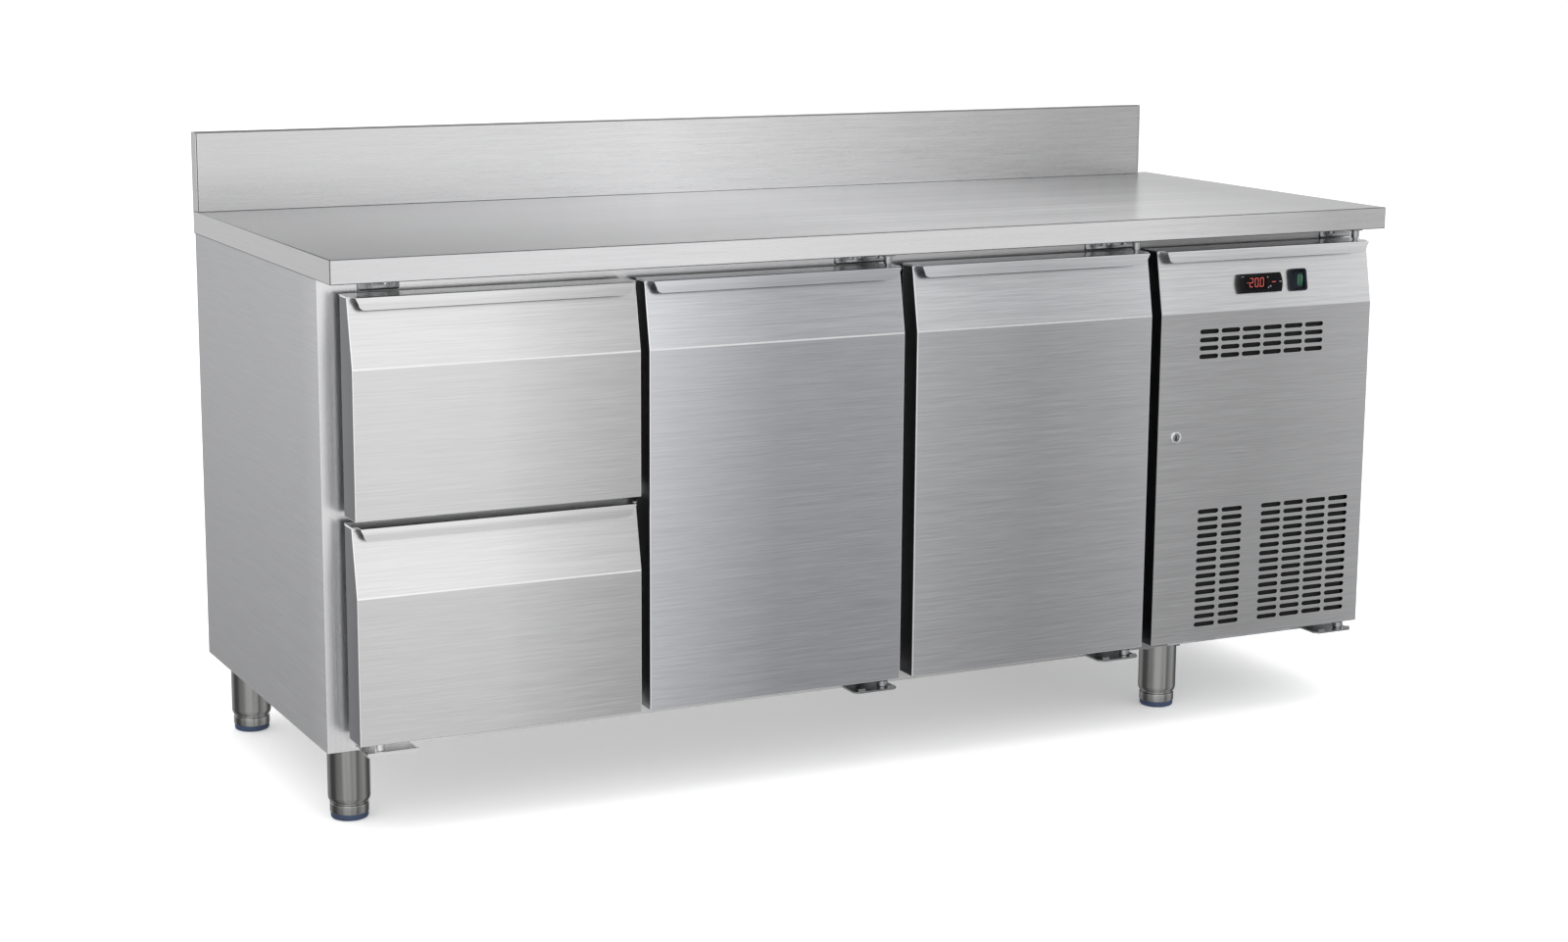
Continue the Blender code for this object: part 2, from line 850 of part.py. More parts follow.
def door(name, span, steel, foam, rubber):
    """A hinged door: sheet, core and seal, hung on an empty at its pins."""
    pin_x = span[1] - PIN_INSET
    skin = front_skin(f"{name}_skin", span, FRONT_LOW, FRONT_HIGH, FRONT_BACK, steel)
    core = front_core(f"{name}_core", span, FRONT_LOW, FRONT_HIGH, FRONT_BACK, foam)
    cut(skin, *pin_bores(f"{name}_skin_bore", pin_x, FRONT_LOW, FRONT_HIGH))
    cut(core, *pin_bores(f"{name}_core_bore", pin_x, FRONT_LOW, FRONT_HIGH))
    spare_bore(name, span[0] + PIN_INSET, FRONT_HIGH, skin, core)
    seal = gasket(f"{name}_gasket", span, FRONT_LOW, FRONT_HIGH, rubber)
    hang(pivot(f"{name}_pivot", (pin_x, PIN_Y, FRONT_LOW)), skin, core, seal)
    return pin_x


def top_hinge(name, pin_x, plate_left, plate_right, steel):
    """A plate on the top rail, with a tongue over the front and a pin down into it."""
    low = FRONT_HIGH + TOP_CLEAR
    tongue_top = BODY_HIGH - BITE
    face = FRAME_Y - GAP
    plate = box(name, (plate_left, face - BRACKET_T, low), (plate_right, face, tongue_top), steel)
    tongue = box(
        name + "_tongue",
        (pin_x - TONGUE_HALF, PIN_Y - 0.010, tongue_top - BRACKET_T),
        (min(plate_right, pin_x + TONGUE_HALF), face - BITE, tongue_top),
        None,
    )
    pin_low = FRONT_HIGH - PIN_REACH
    length = tongue_top - BITE - pin_low
    pin = rod(name + "_pin", (pin_x, PIN_Y, pin_low), PIN_R, length, None)
    return join(plate, tongue, pin)


def hinge_angle(name, pin_x, left, right, leaf_left, back, steel=None):
    """An angle under a front: leaf on the rail, shelf, turned-up edge and bush."""
    low = BODY_LOW + BRACKET_LIFT
    front = PIN_Y - BRACKET_NOSE
    leaf_front = FRAME_Y - GAP - BRACKET_T
    leaf = box(name, (leaf_left, leaf_front, low), (right, back, FRONT_LOW - BITE), steel)
    shelf_back = back - 2 * BITE
    shelf_high = low + BRACKET_T
    shelf = box(name + "_shelf", (left, front, low), (right, shelf_back, shelf_high), None)
    edge = box(name + "_edge", (left, front, low), (right, front + 2 * BITE, low + 6 * BITE), None)
    bush_top = FRONT_LOW - BITE / 2
    bush = rod(name + "_bush", (pin_x, PIN_Y, low + BITE), BUSH_R, bush_top - low - BITE, None)
    return leaf, shelf, edge, bush


def bottom_hinge(name, pin_x, steel):
    """A hinge angle under the front, with a pin up into the front."""
    left = pin_x - BRACKET_LEFT
    right = pin_x + BRACKET_RIGHT
    leaf, *rest = hinge_angle(name, pin_x, left, right, left, FRAME_Y - GAP, steel)
    low = BODY_LOW + BRACKET_LIFT + BITE
    pin = rod(name + "_pin", (pin_x, PIN_Y, low), PIN_R, FRONT_LOW + PIN_REACH + BITE - low, None)
    return join(leaf, *rest, pin)


def drawer_box(name, index, steel):
    """The open-topped box behind a drawer front, with its inner rails."""
    inner = RAIL_FIXED + RAIL_MIDDLE + RAIL_INNER + 2 * GAP
    left = TANK_LEFT + inner
    right = POST_1 - POST_HALF - inner
    low = box_low(index)
    front = FRONT_BACK + GAP
    back = front + BOX_LENGTH
    tub = box(name, (left, front, low), (right, back, low + BOX_HEIGHT), steel)
    hollow = box(
        name + "_hollow",
        (left + BOX_SHEET, front + BOX_SHEET, low + BOX_SHEET),
        (right - BOX_SHEET, back - BOX_SHEET, low + BOX_HEIGHT + 0.01),
        None,
    )
    cut(tub, hollow)
    middle = low + BOX_HEIGHT / 2
    for side, near in (("left", left), ("right", right)):
        out = -RAIL_INNER if side == "left" else RAIL_INNER
        into = 0.0008 if side == "left" else -0.0008
        rail = box(
            f"{name}_{side}_runner",
            (min(near + out, near + into), front + 4 * BITE, middle - RUNNER_HALF),
            (max(near + out, near + into), back - 2 * BITE, middle + RUNNER_HALF),
            None,
        )
        join(tub, rail)
    return tub


def drawer(name, index, steel, foam, rubber):
    """A drawer: foamed front, seal and box on an empty that slides along Y."""
    low = drawer_low(index)
    high = low + front_height()
    skin = front_skin(f"{name}_skin", DRAWER_X, low, high, FRONT_BACK, steel)
    core = front_core(f"{name}_core", DRAWER_X, low, high, FRONT_BACK, foam)
    spare_bore(name, DRAWER_X[1] - PIN_INSET, high, skin, core)
    seal = gasket(f"{name}_gasket", DRAWER_X, low, high, rubber)
    tub = drawer_box(f"{name}_box", index, steel)
    middle = (DRAWER_X[0] + DRAWER_X[1]) / 2
    hang(pivot(f"{name}_slide", (middle, FRONT_BACK, low)), skin, core, seal, tub)


def middle_rails(name, index, steel):
    """The two rails that travel half as far as their drawer."""
    middle = box_low(index) + BOX_HEIGHT / 2
    start = RAIL_FIXED + GAP
    bay_right = POST_1 - POST_HALF
    spans = {
        "left": (TANK_LEFT + start, TANK_LEFT + start + RAIL_MIDDLE),
        "right": (bay_right - start - RAIL_MIDDLE, bay_right - start),
    }
    carrier = pivot(f"{name}_rail_slide", (0, RAIL_FRONT, middle))
    for side, (near, far) in spans.items():
        rail = box(
            f"{name}_rail_{side}",
            (near, RAIL_FRONT, middle - RAIL_HALF),
            (far, RAIL_BACK, middle + RAIL_HALF),
            steel,
        )
        hang(carrier, rail)


def shelf(name, left, right, steel):
    """A welded wire shelf: a frame, long wires and two bearers below."""
    middle = (left + right) / 2
    half = SHELF_WIDTH / 2
    front = FRAME_Y + FRAME_T + 0.004
    back = front + SHELF_LENGTH
    high = SHELF_Z + WIRE
    grid = box(name, (middle - half, front, SHELF_Z), (middle + half, back, high), steel)
    openings = []
    pitch = (SHELF_WIDTH - WIRE) / (SHELF_BARS + 1)
    centre = (front + back) / 2
    rows = ((front + WIRE, centre - WIRE), (centre + WIRE, back - WIRE))
    for i in range(SHELF_BARS + 1):
        start = middle - half + WIRE + i * pitch
        for near, far in rows:
            low = (start, near, SHELF_Z - BITE)
            openings.append((low, (start + pitch - WIRE, far, high + BITE)))
    return cut(grid, merged_cutter(name + "_openings", openings))


# --- service panel -------------------------------------------------------------------


def recess_place(x, z, out):
    """A point above the recess face, and the face's tilt about X."""
    fold = FRONT_HIGH - FOLD_DROP
    tilt = math.atan2(RECESS, FOLD_DROP - SKIN)
    y = FACE_Y + (z - fold) * math.tan(tilt)
    normal = Vector((0, -math.cos(tilt), math.sin(tilt)))
    return Vector((x, y, z)) + normal * out, -tilt


def tilted_box(name, x, z, size, out_low, out_high, look, collection=None):
    """A block that stands square on the slanted recess, between two heights above it."""
    place, tilt = recess_place(x, z, (out_low + out_high) / 2)
    half = (size[0] / 2, (out_high - out_low) / 2, size[1] / 2)
    block = box(name, (-half[0], -half[1], -half[2]), half, look, collection)
    block.location = place
    block.rotation_euler = (tilt, 0, 0)
    return block


def slot_boxes():
    """The louvre slots: a small upper field and two tall lower ones."""
    slots = []
    for first, pitch, columns, length, top, rows in LOUVRE_FIELDS:
        for column in range(columns):
            middle = first + column * pitch
            for row in range(rows):
                high = top - row * SLOT_PITCH + SLOT_HEIGHT / 2
                low = (middle - length / 2, FACE_Y - 0.003, high - SLOT_HEIGHT)
                slots.append((low, (middle + length / 2, FACE_Y + 0.006, high)))
    return slots


def condenser_panel(steel):
    """The louvred sheet door in front of the compressor, with its cut-outs."""
    panel = front_skin("condenser_panel", PANEL_X, FRONT_LOW, FRONT_HIGH, PANEL_BACK, steel)
    pin_x = PANEL_X[1] - PIN_INSET
    cut(panel, merged_cutter("louvres", slot_boxes()))
    deep = 0.01
    window = (CONTROLLER_CASE[0] + 0.0025, CONTROLLER_CASE[1] + 0.0025)
    cut(panel, tilted_box("controller_hole", CONTROLLER_X, CONTROLLER_Z, window, -deep, deep, None))
    window = (SWITCH_CASE[0] + BITE, SWITCH_CASE[1] + BITE)
    cut(panel, tilted_box("switch_hole", SWITCH_X, SWITCH_Z, window, -deep, deep, None))
    place = (LOCK_X, FACE_Y - SKIN, LOCK_Z)
    cut(panel, rod("lock_hole", place, LOCK_BODY + BITE / 2, deep, None, "Y", 20))
    return cut(panel, *pin_bores("panel_bore", pin_x, FRONT_LOW, FRONT_HIGH))


def controller(plastic):
    """The temperature controller: a bowed bezel with a body behind it."""
    body = tilted_box(
        "controller", CONTROLLER_X, CONTROLLER_Z, CONTROLLER_SIZE, GAP, CONTROLLER_OUT, plastic
    )
    soften(body, 0.0035, 2)
    case = tilted_box(
        "controller_case", CONTROLLER_X, CONTROLLER_Z, CONTROLLER_CASE, -0.030, 0.004, None
    )
    return join(body, case)


def switch_bezel(plastic):
    """The rocker switch's frame, with its well."""
    bezel = tilted_box("switch_bezel", SWITCH_X, SWITCH_Z, SWITCH_SIZE, GAP, SWITCH_OUT, plastic)
    soften(bezel, 0.003, 2)
    body = tilted_box("switch_body", SWITCH_X, SWITCH_Z, SWITCH_CASE, -0.022, 0.003, None)
    join(bezel, body)
    well = (ROCKER_SIZE[0] + 0.001, ROCKER_SIZE[1] + 0.0016)
    return cut(
        bezel, tilted_box("switch_well", SWITCH_X, SWITCH_Z, well, -0.012, 0.02, None)
    )


def switch_rocker(plastic):
    """The lit rocker, which rests tipped and turns about a line along X."""
    rocker = tilted_box("switch_rocker", SWITCH_X, SWITCH_Z, ROCKER_SIZE, -0.004, 0.005, plastic)
    place, tilt = recess_place(SWITCH_X, SWITCH_Z, 0.0005)
    rocker.rotation_euler = (tilt + math.radians(ROCKER_TILT), 0, 0)
    rocker.location = place
    return soften(rocker, 0.001, 2)


def lock_housing(chrome):
    """The lock's collar, through the sheet."""
    deep = -0.018
    profile = [
        (LOCK_BORE, LOCK_OUT),
        (LOCK_R - BITE, LOCK_OUT),
        (LOCK_R, LOCK_OUT - BITE),
        (LOCK_R, GAP),
        (LOCK_BODY, GAP),
        (LOCK_BODY, deep),
        (LOCK_BORE, deep),
        (LOCK_BORE, LOCK_OUT),
    ]
    place = (LOCK_X, FACE_Y, LOCK_Z)
    housing = turned("lock_housing", profile, place, chrome, "Y", 20)
    housing.rotation_euler = (math.pi / 2, 0, 0)
    return housing


def lock_barrel(chrome):
    """The turning barrel with its keyway and the cam behind the panel."""
    front = FACE_Y - LOCK_OUT + 2 * GAP
    cam_front = FACE_Y + 0.020
    cam_back = cam_front + 0.0025
    length = cam_back - front + 2 * BITE
    place = (LOCK_X, front, LOCK_Z)
    barrel = rod("lock_barrel", place, LOCK_BORE - GAP, length, chrome, "Y", 20)
    keyway = box(
        "keyway",
        (LOCK_X - 0.0008, front - 2 * BITE, LOCK_Z - 0.0035),
        (LOCK_X + 0.0008, front + 6 * BITE, LOCK_Z + 0.0035),
        None,
    )
    cam = box(
        "lock_cam",
        (LOCK_X - 0.006, cam_front, LOCK_Z - 0.028),
        (LOCK_X + 0.006, cam_back, LOCK_Z + 0.006),
        None,
    )
    cut(barrel, keyway)
    return join(barrel, cam)


# --- condensing unit -----------------------------------------------------------------


def condenser_coil(metal):
    return box(
        "condenser_coil",
        (COIL_X[0], COIL_Y[0], COIL_Z[0]),
        (COIL_X[1], COIL_Y[1], COIL_Z[1]),
        metal,
    )


def fan_centre():
    """Middle of the condenser fan, behind the coil."""
    x = (COIL_X[0] + COIL_X[1]) / 2
    z = (COIL_Z[0] + COIL_Z[1]) / 2
    return (x, COIL_Y[1] + GAP + SHROUD_T / 2, z)


def fan_shroud(metal):
    """The plate behind the coil, with the fan's round opening and its motor on two bars."""
    x, y, z = fan_centre()
    plate_back = COIL_Y[1] + GAP + SHROUD_T
    plate = box(
        "fan_shroud",
        (COIL_X[0], COIL_Y[1] + GAP, BODY_LOW + SKIN + GAP),
        (COIL_X[1], plate_back, COIL_Z[1]),
        metal,
    )
    cut(plate, rod("shroud_hole", (x, y - 0.03, z), FAN_R + 0.006, 0.06, None, "Y", 32))
    motor = rod("fan_motor", (x, plate_back + 0.0028, z), MOTOR_R, 0.055, None, "Y", 24)
    bars = []
    reach = FAN_R + 0.014
    half = 0.006
    for side in (-1, 1):
        middle = z + side * 3 * half
        low = (x - reach, plate_back - BITE, middle - half)
        high = (x + reach, plate_back + 3 * BITE, middle + half)
        bars.append(box(f"motor_bar_{side + 1}", low, high, None))
    return join(plate, motor, *bars)


def compressor(black):
    """The welded compressor shell on its foot plate."""
    x, y = COMPRESSOR_XY
    base = BODY_LOW + SKIN + GAP
    radius = 0.095
    crown = 0.055
    shoulder = 0.185
    profile = []
    for along, up in arc((0, 0), 1.0, 90, 0, 6):
        profile.append((radius * along, shoulder + crown * up))
    profile[0] = (0, shoulder + crown)
    seam = 0.105
    profile += [(radius, seam + 0.006), (radius + 0.004, seam + 0.003)]
    profile += [(radius + 0.004, seam - 0.003), (radius, seam - 0.006)]
    for along, up in arc((0, 0), 1.0, 0, -90, 5):
        profile.append((radius * (0.7 + 0.3 * along), 0.045 + 0.030 * up))
    profile.append((0, 0.015))
    shell = turned("compressor", profile, (x, y, base), black)
    plate = box(
        "compressor_plate",
        (x - 0.110, y - 0.075, base),
        (x + 0.110, y + 0.075, base + 0.018),
        None,
    )
    return join(shell, plate)


# --- legs ----------------------------------------------------------------------------


def leg(name, x, y, steel):
    """A tubular leg, open below, closed by its top plate and drawn in at its lower end."""
    top = BODY_LOW - GAP
    bore = LEG_R - LEG_WALL
    profile = [
        (0, top),
        (LEG_R, top),
        (LEG_R, LEG_LOW + 0.009),
        (LEG_R - 0.0008, LEG_LOW + 0.003),
        (FOOT_R + 0.001, LEG_LOW),
        (FOOT_R + 0.0004, LEG_LOW),
        (FOOT_R + 0.0004, LEG_LOW + 0.003),
        (bore, LEG_LOW + 0.008),
        (bore, top - 0.006),
        (0, top - 0.006),
    ]
    return turned(name, profile, (x, y, 0), steel)


def foot(name, x, y, steel):
    """The foot that screws down out of a leg, with a groove where they meet."""
    groove = FOOT_R - 0.002
    profile = [
        (0, FOOT_STEM_TOP),
        (FOOT_R, FOOT_STEM_TOP),
        (FOOT_R, LEG_LOW),
        (groove, LEG_LOW - 0.0006),
        (groove, LEG_LOW - 0.0028),
        (FOOT_R, LEG_LOW - 0.0034),
        (FOOT_R, 0.0095),
        (FOOT_R - 0.0012, 0.0088),
        (FOOT_R - 0.0012, 0.0015),
        (FOOT_R - 0.0030, 0),
        (0, 0),
    ]
    return turned(name, profile, (x, y, 0), steel)


def legs(steel):
    places = {
        "front_left": (LEG_X[0], LEG_Y[0]),
        "rear_left": (LEG_X[0], LEG_Y[1]),
        "front_right": (LEG_X[1], LEG_Y[0]),
        "rear_right": (LEG_X[1], LEG_Y[1]),
    }
    for name, (x, y) in places.items():
        leg(f"{name}_leg", x, y, steel)
        foot(f"{name}_foot", x, y, steel)


def main():
    global PARTS, CUTTERS
    clear_scene()
    PARTS = new_collection("refrigerated_counter")
    CUTTERS = new_collection("cutters")
    steel = material("brushed_stainless", STEEL, 0.32, 1.0)
    liner = material("liner_stainless", (0.70, 0.71, 0.72), 0.38, 1.0)
    foam = material("insulated_panel", (0.66, 0.67, 0.69), 0.45, 0.8)
    galvanised = material("galvanised_sheet", (0.55, 0.57, 0.58), 0.50, 1.0)
    plated = material("plated_steel", (0.72, 0.73, 0.75), 0.28, 1.0)
    rubber = material("gasket_grey", (0.16, 0.16, 0.17), 0.80, 0.0)
    black = material("black_enamel", (0.02, 0.02, 0.02), 0.35, 0.2)
    gloss = material("black_plastic", (0.01, 0.01, 0.012), 0.12, 0.0)
    green = material("green_lens", (0.02, 0.28, 0.12), 0.20, 0.0)
    fins = material("aluminium_fins", (0.60, 0.61, 0.62), 0.45, 1.0)

    worktop(steel)
    backsplash(steel)
    side_panel("left_side_panel", -1, WALL + GAP, steel)
    side_panel("right_side_panel", 1, STILE_WIDTH, steel)
    back_panel(galvanised)
    left_wall(foam)
    rear_wall(foam)
    tank_floor(foam)
    tank_ceiling(foam)
    compressor_partition(foam)
    compressor_base(galvanised)
    mullion_1(steel)
    mullion_2(steel)
    evaporator_cover(liner)
    evaporator_coil(fins)
    fan("evaporator_fan", FAN_2, FAN_2_R, FAN_2_HUB, "X", black)

    for name, span in (("centre_door", CENTRE_X), ("right_door", RIGHT_X)):
        pin_x = door(name, span, steel, foam, rubber)
        top_hinge(f"{name}_top_hinge", pin_x, pin_x - 0.068, pin_x + 0.026, plated)
        bottom_hinge(f"{name}_bottom_hinge", pin_x, plated)
    for index, name in ((1, "upper_drawer"), (0, "lower_drawer")):
        drawer(name, index, steel, foam, rubber)
        middle_rails(name, index, plated)
    shelf("centre_shelf", POST_1 + POST_HALF, POST_2 - POST_HALF, plated)
    shelf("right_shelf", POST_2 + POST_HALF, TANK_RIGHT, plated)

    pin_x = PANEL_X[1] - PIN_INSET
    panel = condenser_panel(steel)
    housing = lock_housing(plated)
    dial = controller(gloss)
    bezel = switch_bezel(gloss)
    hang(pivot("condenser_panel_pivot", (pin_x, PIN_Y, FRONT_LOW)), panel, housing, dial, bezel)
    switch_rocker(green)
    lock_barrel(plated)
    top_hinge("panel_top_hinge", pin_x, pin_x - 0.040, pin_x + 0.020, plated)
    bottom_hinge("panel_bottom_hinge", pin_x, plated)

    condenser_coil(fins)
    fan_shroud(black)
    fan("condenser_fan", fan_centre(), FAN_R, FAN_HUB, "Y", black)
    compressor(black)
    legs(steel)


main()
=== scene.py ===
"""Looks for the refrigerated counter: clean folded-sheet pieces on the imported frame."""

import json
import math

import bmesh
import bpy
from mathutils import Matrix, Vector


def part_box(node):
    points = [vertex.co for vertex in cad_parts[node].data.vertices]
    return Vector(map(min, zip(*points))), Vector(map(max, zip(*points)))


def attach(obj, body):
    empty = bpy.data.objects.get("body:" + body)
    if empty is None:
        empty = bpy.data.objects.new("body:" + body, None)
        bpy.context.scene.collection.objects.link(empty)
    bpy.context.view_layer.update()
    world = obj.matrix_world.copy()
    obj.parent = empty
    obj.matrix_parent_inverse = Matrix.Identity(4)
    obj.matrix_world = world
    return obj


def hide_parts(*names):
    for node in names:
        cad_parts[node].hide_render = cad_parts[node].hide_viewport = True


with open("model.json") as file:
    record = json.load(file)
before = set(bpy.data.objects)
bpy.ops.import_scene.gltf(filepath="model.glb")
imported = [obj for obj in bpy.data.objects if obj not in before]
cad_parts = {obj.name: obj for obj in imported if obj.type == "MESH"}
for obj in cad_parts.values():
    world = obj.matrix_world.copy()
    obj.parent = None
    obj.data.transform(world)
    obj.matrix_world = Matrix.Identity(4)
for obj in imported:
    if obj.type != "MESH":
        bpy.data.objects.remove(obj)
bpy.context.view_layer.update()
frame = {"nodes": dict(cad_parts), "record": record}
SCENE = bpy.context.scene

# Sizes shared by the pieces, in metres
SHEET = 0.0012
FOLD_DROP = 0.100
RECESS = 0.019
LIP_HEIGHT = 0.018
LIP_END = 0.008
LIP_SLANT = 0.004
LIP_CORNER = 0.010
BEND = 0.0016
FOLD_GAP = 0.002
PIN_INSET = 0.018
PLATE_LIFT = 0.0015
SLOT_HEIGHT = 0.0078
SLOT_PITCH = 0.0134

# --- node material helpers ------------------------------------------------------------


class Look:
    """A small builder for a Principled material's nodes."""

    def __init__(self, name, color, roughness, metallic=0.0, **values):
        self.made = bpy.data.materials.new(name)
        self.made.use_nodes = True
        self.tree = self.made.node_tree
        self.shader = self.tree.nodes["Principled BSDF"]
        self.shader.inputs["Base Color"].default_value = (*color, 1)
        self.shader.inputs["Roughness"].default_value = roughness
        self.shader.inputs["Metallic"].default_value = metallic
        for label, value in values.items():
            self.shader.inputs[label.replace("_", " ")].default_value = value
        self.made.diffuse_color = (*color, 1)

    def node(self, kind, **settings):
        node = self.tree.nodes.new("ShaderNode" + kind)
        for label, value in settings.items():
            setattr(node, label, value)
        return node

    def wire(self, start, end):
        self.tree.links.new(start, end)

    def place(self, stretch, shift=(0, 0, 0)):
        """Object coordinates, stretched."""
        coords = self.node("TexCoord")
        mapping = self.node("Mapping")
        mapping.inputs["Scale"].default_value = stretch
        mapping.inputs["Location"].default_value = shift
        self.wire(coords.outputs["Object"], mapping.inputs["Vector"])
        return mapping.outputs["Vector"]

    def noise(self, place, scale=1.0, detail=4.0, rough=0.6):
        node = self.node("TexNoise")
        node.inputs["Scale"].default_value = scale
        node.inputs["Detail"].default_value = detail
        node.inputs["Roughness"].default_value = rough
        self.wire(place, node.inputs["Vector"])
        return node.outputs["Fac"]

    def span(self, value, low, high, start=0.3, end=0.7):
        """A value moved from one range to another."""
        node = self.node("MapRange")
        node.inputs["From Min"].default_value = start
        node.inputs["From Max"].default_value = end
        node.inputs["To Min"].default_value = low
        node.inputs["To Max"].default_value = high
        self.wire(value, node.inputs["Value"])
        return node.outputs["Result"]

    def feed(self, value, socket):
        """Wires another node's output into the socket, or sets a plain value or colour."""
        if hasattr(value, "is_linked"):
            self.wire(value, socket)
        else:
            socket.default_value = (*value, 1) if isinstance(value, tuple) else value

    def mix(self, factor, first, second):
        node = self.node("Mix", data_type="RGBA")
        for index, value in ((0, factor), (6, first), (7, second)):
            self.feed(value, node.inputs[index])
        return node.outputs[2]

    def math(self, kind, first, second):
        node = self.node("Math", operation=kind)
        self.feed(first, node.inputs[0])
        self.feed(second, node.inputs[1])
        return node.outputs[0]

    def coordinate(self, axis):
        """One of the object's coordinates."""
        coords = self.node("TexCoord")
        split = self.node("SeparateXYZ")
        self.wire(coords.outputs["Object"], split.inputs[0])
        return split.outputs[axis]

    def color(self, value):
        self.wire(value, self.shader.inputs["Base Color"])
        return self

    def rough(self, value):
        self.wire(value, self.shader.inputs["Roughness"])
        return self

    def bump(self, value, strength, distance=0.0005):
        node = self.node("Bump")
        node.inputs["Strength"].default_value = strength
        node.inputs["Distance"].default_value = distance
        self.wire(value, node.inputs["Height"])
        self.wire(node.outputs["Normal"], self.shader.inputs["Normal"])
        return self

    def fade(self, tone, stops, axis=0):
        """A colour times a gain that changes along an axis, as (place, gain) stops."""
        start, end = stops[0][0], stops[-1][0]
        ramp = self.node("ValToRGB")
        self.wire(self.span(self.coordinate(axis), 0, 1, start, end), ramp.inputs["Fac"])
        elements = ramp.color_ramp.elements
        most = max(gain for place, gain in stops)
        for place, gain in stops:
            at = (place - start) / (end - start)
            inner = 0 < at < 1
            element = elements.new(at) if inner else elements[-1 if at >= 1 else 0]
            element.color = (gain / most, gain / most, gain / most, 1)
        made = self.node("VectorMath", operation="MULTIPLY")
        self.wire(tone, made.inputs[0])
        self.wire(ramp.outputs["Color"], made.inputs[1])
        scaled = self.node("VectorMath", operation="SCALE")
        self.wire(made.outputs[0], scaled.inputs[0])
        scaled.inputs["Scale"].default_value = most
        return scaled.outputs[0]

    def edge_highlight_mask(self, radius=0.0012):
        """1 on convex edges and 0 on flats: the mask of the painted edge highlight."""
        bevel = self.node("Bevel", samples=4)
        bevel.inputs["Radius"].default_value = radius
        geometry = self.node("NewGeometry")
        dot = self.node("VectorMath", operation="DOT_PRODUCT")
        self.wire(bevel.outputs["Normal"], dot.inputs[0])
        self.wire(geometry.outputs["Normal"], dot.inputs[1])
        return self.span(dot.outputs["Value"], 1.0, 0.0, 0.90, 0.995)


def stretch(brushing, along, across):
    """A scale of one value along the brushing axis and another across it."""
    return tuple(along if axis == brushing else across for axis in "XYZ")


def brushed(
    name, color, roughness, brushing="X", contrast=1.0, shift=0.0, crown=None, edge_highlight_gain=1.4,
    reflection_fades=(), banding=0.18, bands_per_metre=90,
):
    """Stainless sheet brushed along an axis: hairlines, faint long bands and a painted highlight on
    convex edges.

    The shift moves the grain, so that no two sheets share it. A crown, (middle X, half width,
    slope), bows the sheet's reflections from edge to edge. Each of the fades, (axis, stops), is a
    slow change of tone across the sheet: a painted reflection. The banding is the share of the tone
    that the bands take.
    """
    look = Look(name, color, roughness, 1.0)
    hair = look.place(stretch(brushing, 26, 1500), (shift, shift, shift))
    line = look.place(stretch(brushing, 9, 430), (shift, 2 * shift, shift))
    band = look.place(stretch(brushing, 0.5, bands_per_metre), (shift, shift, 3 * shift))
    hairs = look.noise(hair, 1.0, 1, 0.5)
    lines = look.noise(line, 1.0, 0, 0.5)
    bands = look.noise(band, 1.0, 1, 0.5)
    both = look.math("ADD", look.math("MULTIPLY", hairs, 0.55), look.math("MULTIPLY", lines, 0.45))
    fine = look.math("MULTIPLY", both, 1 - banding)
    grain = look.math("ADD", fine, look.math("MULTIPLY", bands, banding))
    dark = tuple(c * (1 - 0.075 * contrast) for c in color)
    light = tuple(min(1, c * (1 + 0.070 * contrast)) for c in color)
    tone = look.mix(look.span(grain, 0, 1, 0.36, 0.64), dark, light)
    # Each fade scales the tone along an axis: a painted reflection gradient.
    for axis, stops in reflection_fades:
        tone = look.fade(tone, stops, axis)
    # Convex edges lightened by the edge gain: a painted highlight.
    edge = look.edge_highlight_mask(0.0014)
    edge_highlight = tuple(min(1, c * edge_highlight_gain) for c in color)
    look.color(look.mix(look.math("MULTIPLY", edge, 0.9), tone, edge_highlight))
    look.rough(look.span(grain, roughness - 0.02, roughness + 0.02, 0.35, 0.65))
    height = look.math("MULTIPLY", hairs, 0.0000015 * contrast)
    if crown:
        middle, half, slope = crown
        offset = look.math("SUBTRACT", look.coordinate(0), middle)
        share = look.math("DIVIDE", offset, half)
        square = look.math("MULTIPLY", share, share)
        bow = look.math("MULTIPLY", square, -slope * half / 2)
        height = look.math("ADD", height, bow)
    look.bump(height, 1.0, 1.0)
    return look.made


def speckled(name, color, roughness, scale=500, strength=0.1, metallic=0.0, vary=0.15, **values):
    """Moulded, painted or plated surface with a fine texture and a slow colour change."""
    look = Look(name, color, roughness, metallic, **values)
    grain = look.noise(look.place((scale, scale, scale)), 1.0, 3, 0.6)
    cloud = look.noise(look.place((14, 14, 14)), 1.0, 3, 0.55)
    dark = tuple(c * (1 - vary) for c in color)
    light = tuple(min(1, c * (1 + vary) + 0.004) for c in color)
    look.color(look.mix(look.span(cloud, 0, 1), dark, light))
    look.rough(look.span(grain, max(0.02, roughness - 0.06), min(1, roughness + 0.08)))
    look.bump(grain, strength, 0.0002)
    return look.made


def spangled(name):
    """Hot-dip galvanised sheet with its crystal pattern."""
    look = Look(name, (0.50, 0.52, 0.54), 0.45, 1.0)
    cells = look.node("TexVoronoi")
    cells.inputs["Scale"].default_value = 60
    look.wire(look.place((1, 1, 1)), cells.inputs["Vector"])
    look.color(look.mix(cells.outputs["Color"], (0.42, 0.44, 0.46), (0.62, 0.64, 0.66)))
    look.rough(look.span(cells.outputs["Distance"], 0.36, 0.55, 0.0, 0.8))
    look.bump(cells.outputs["Distance"], 0.05, 0.0003)
    return look.made


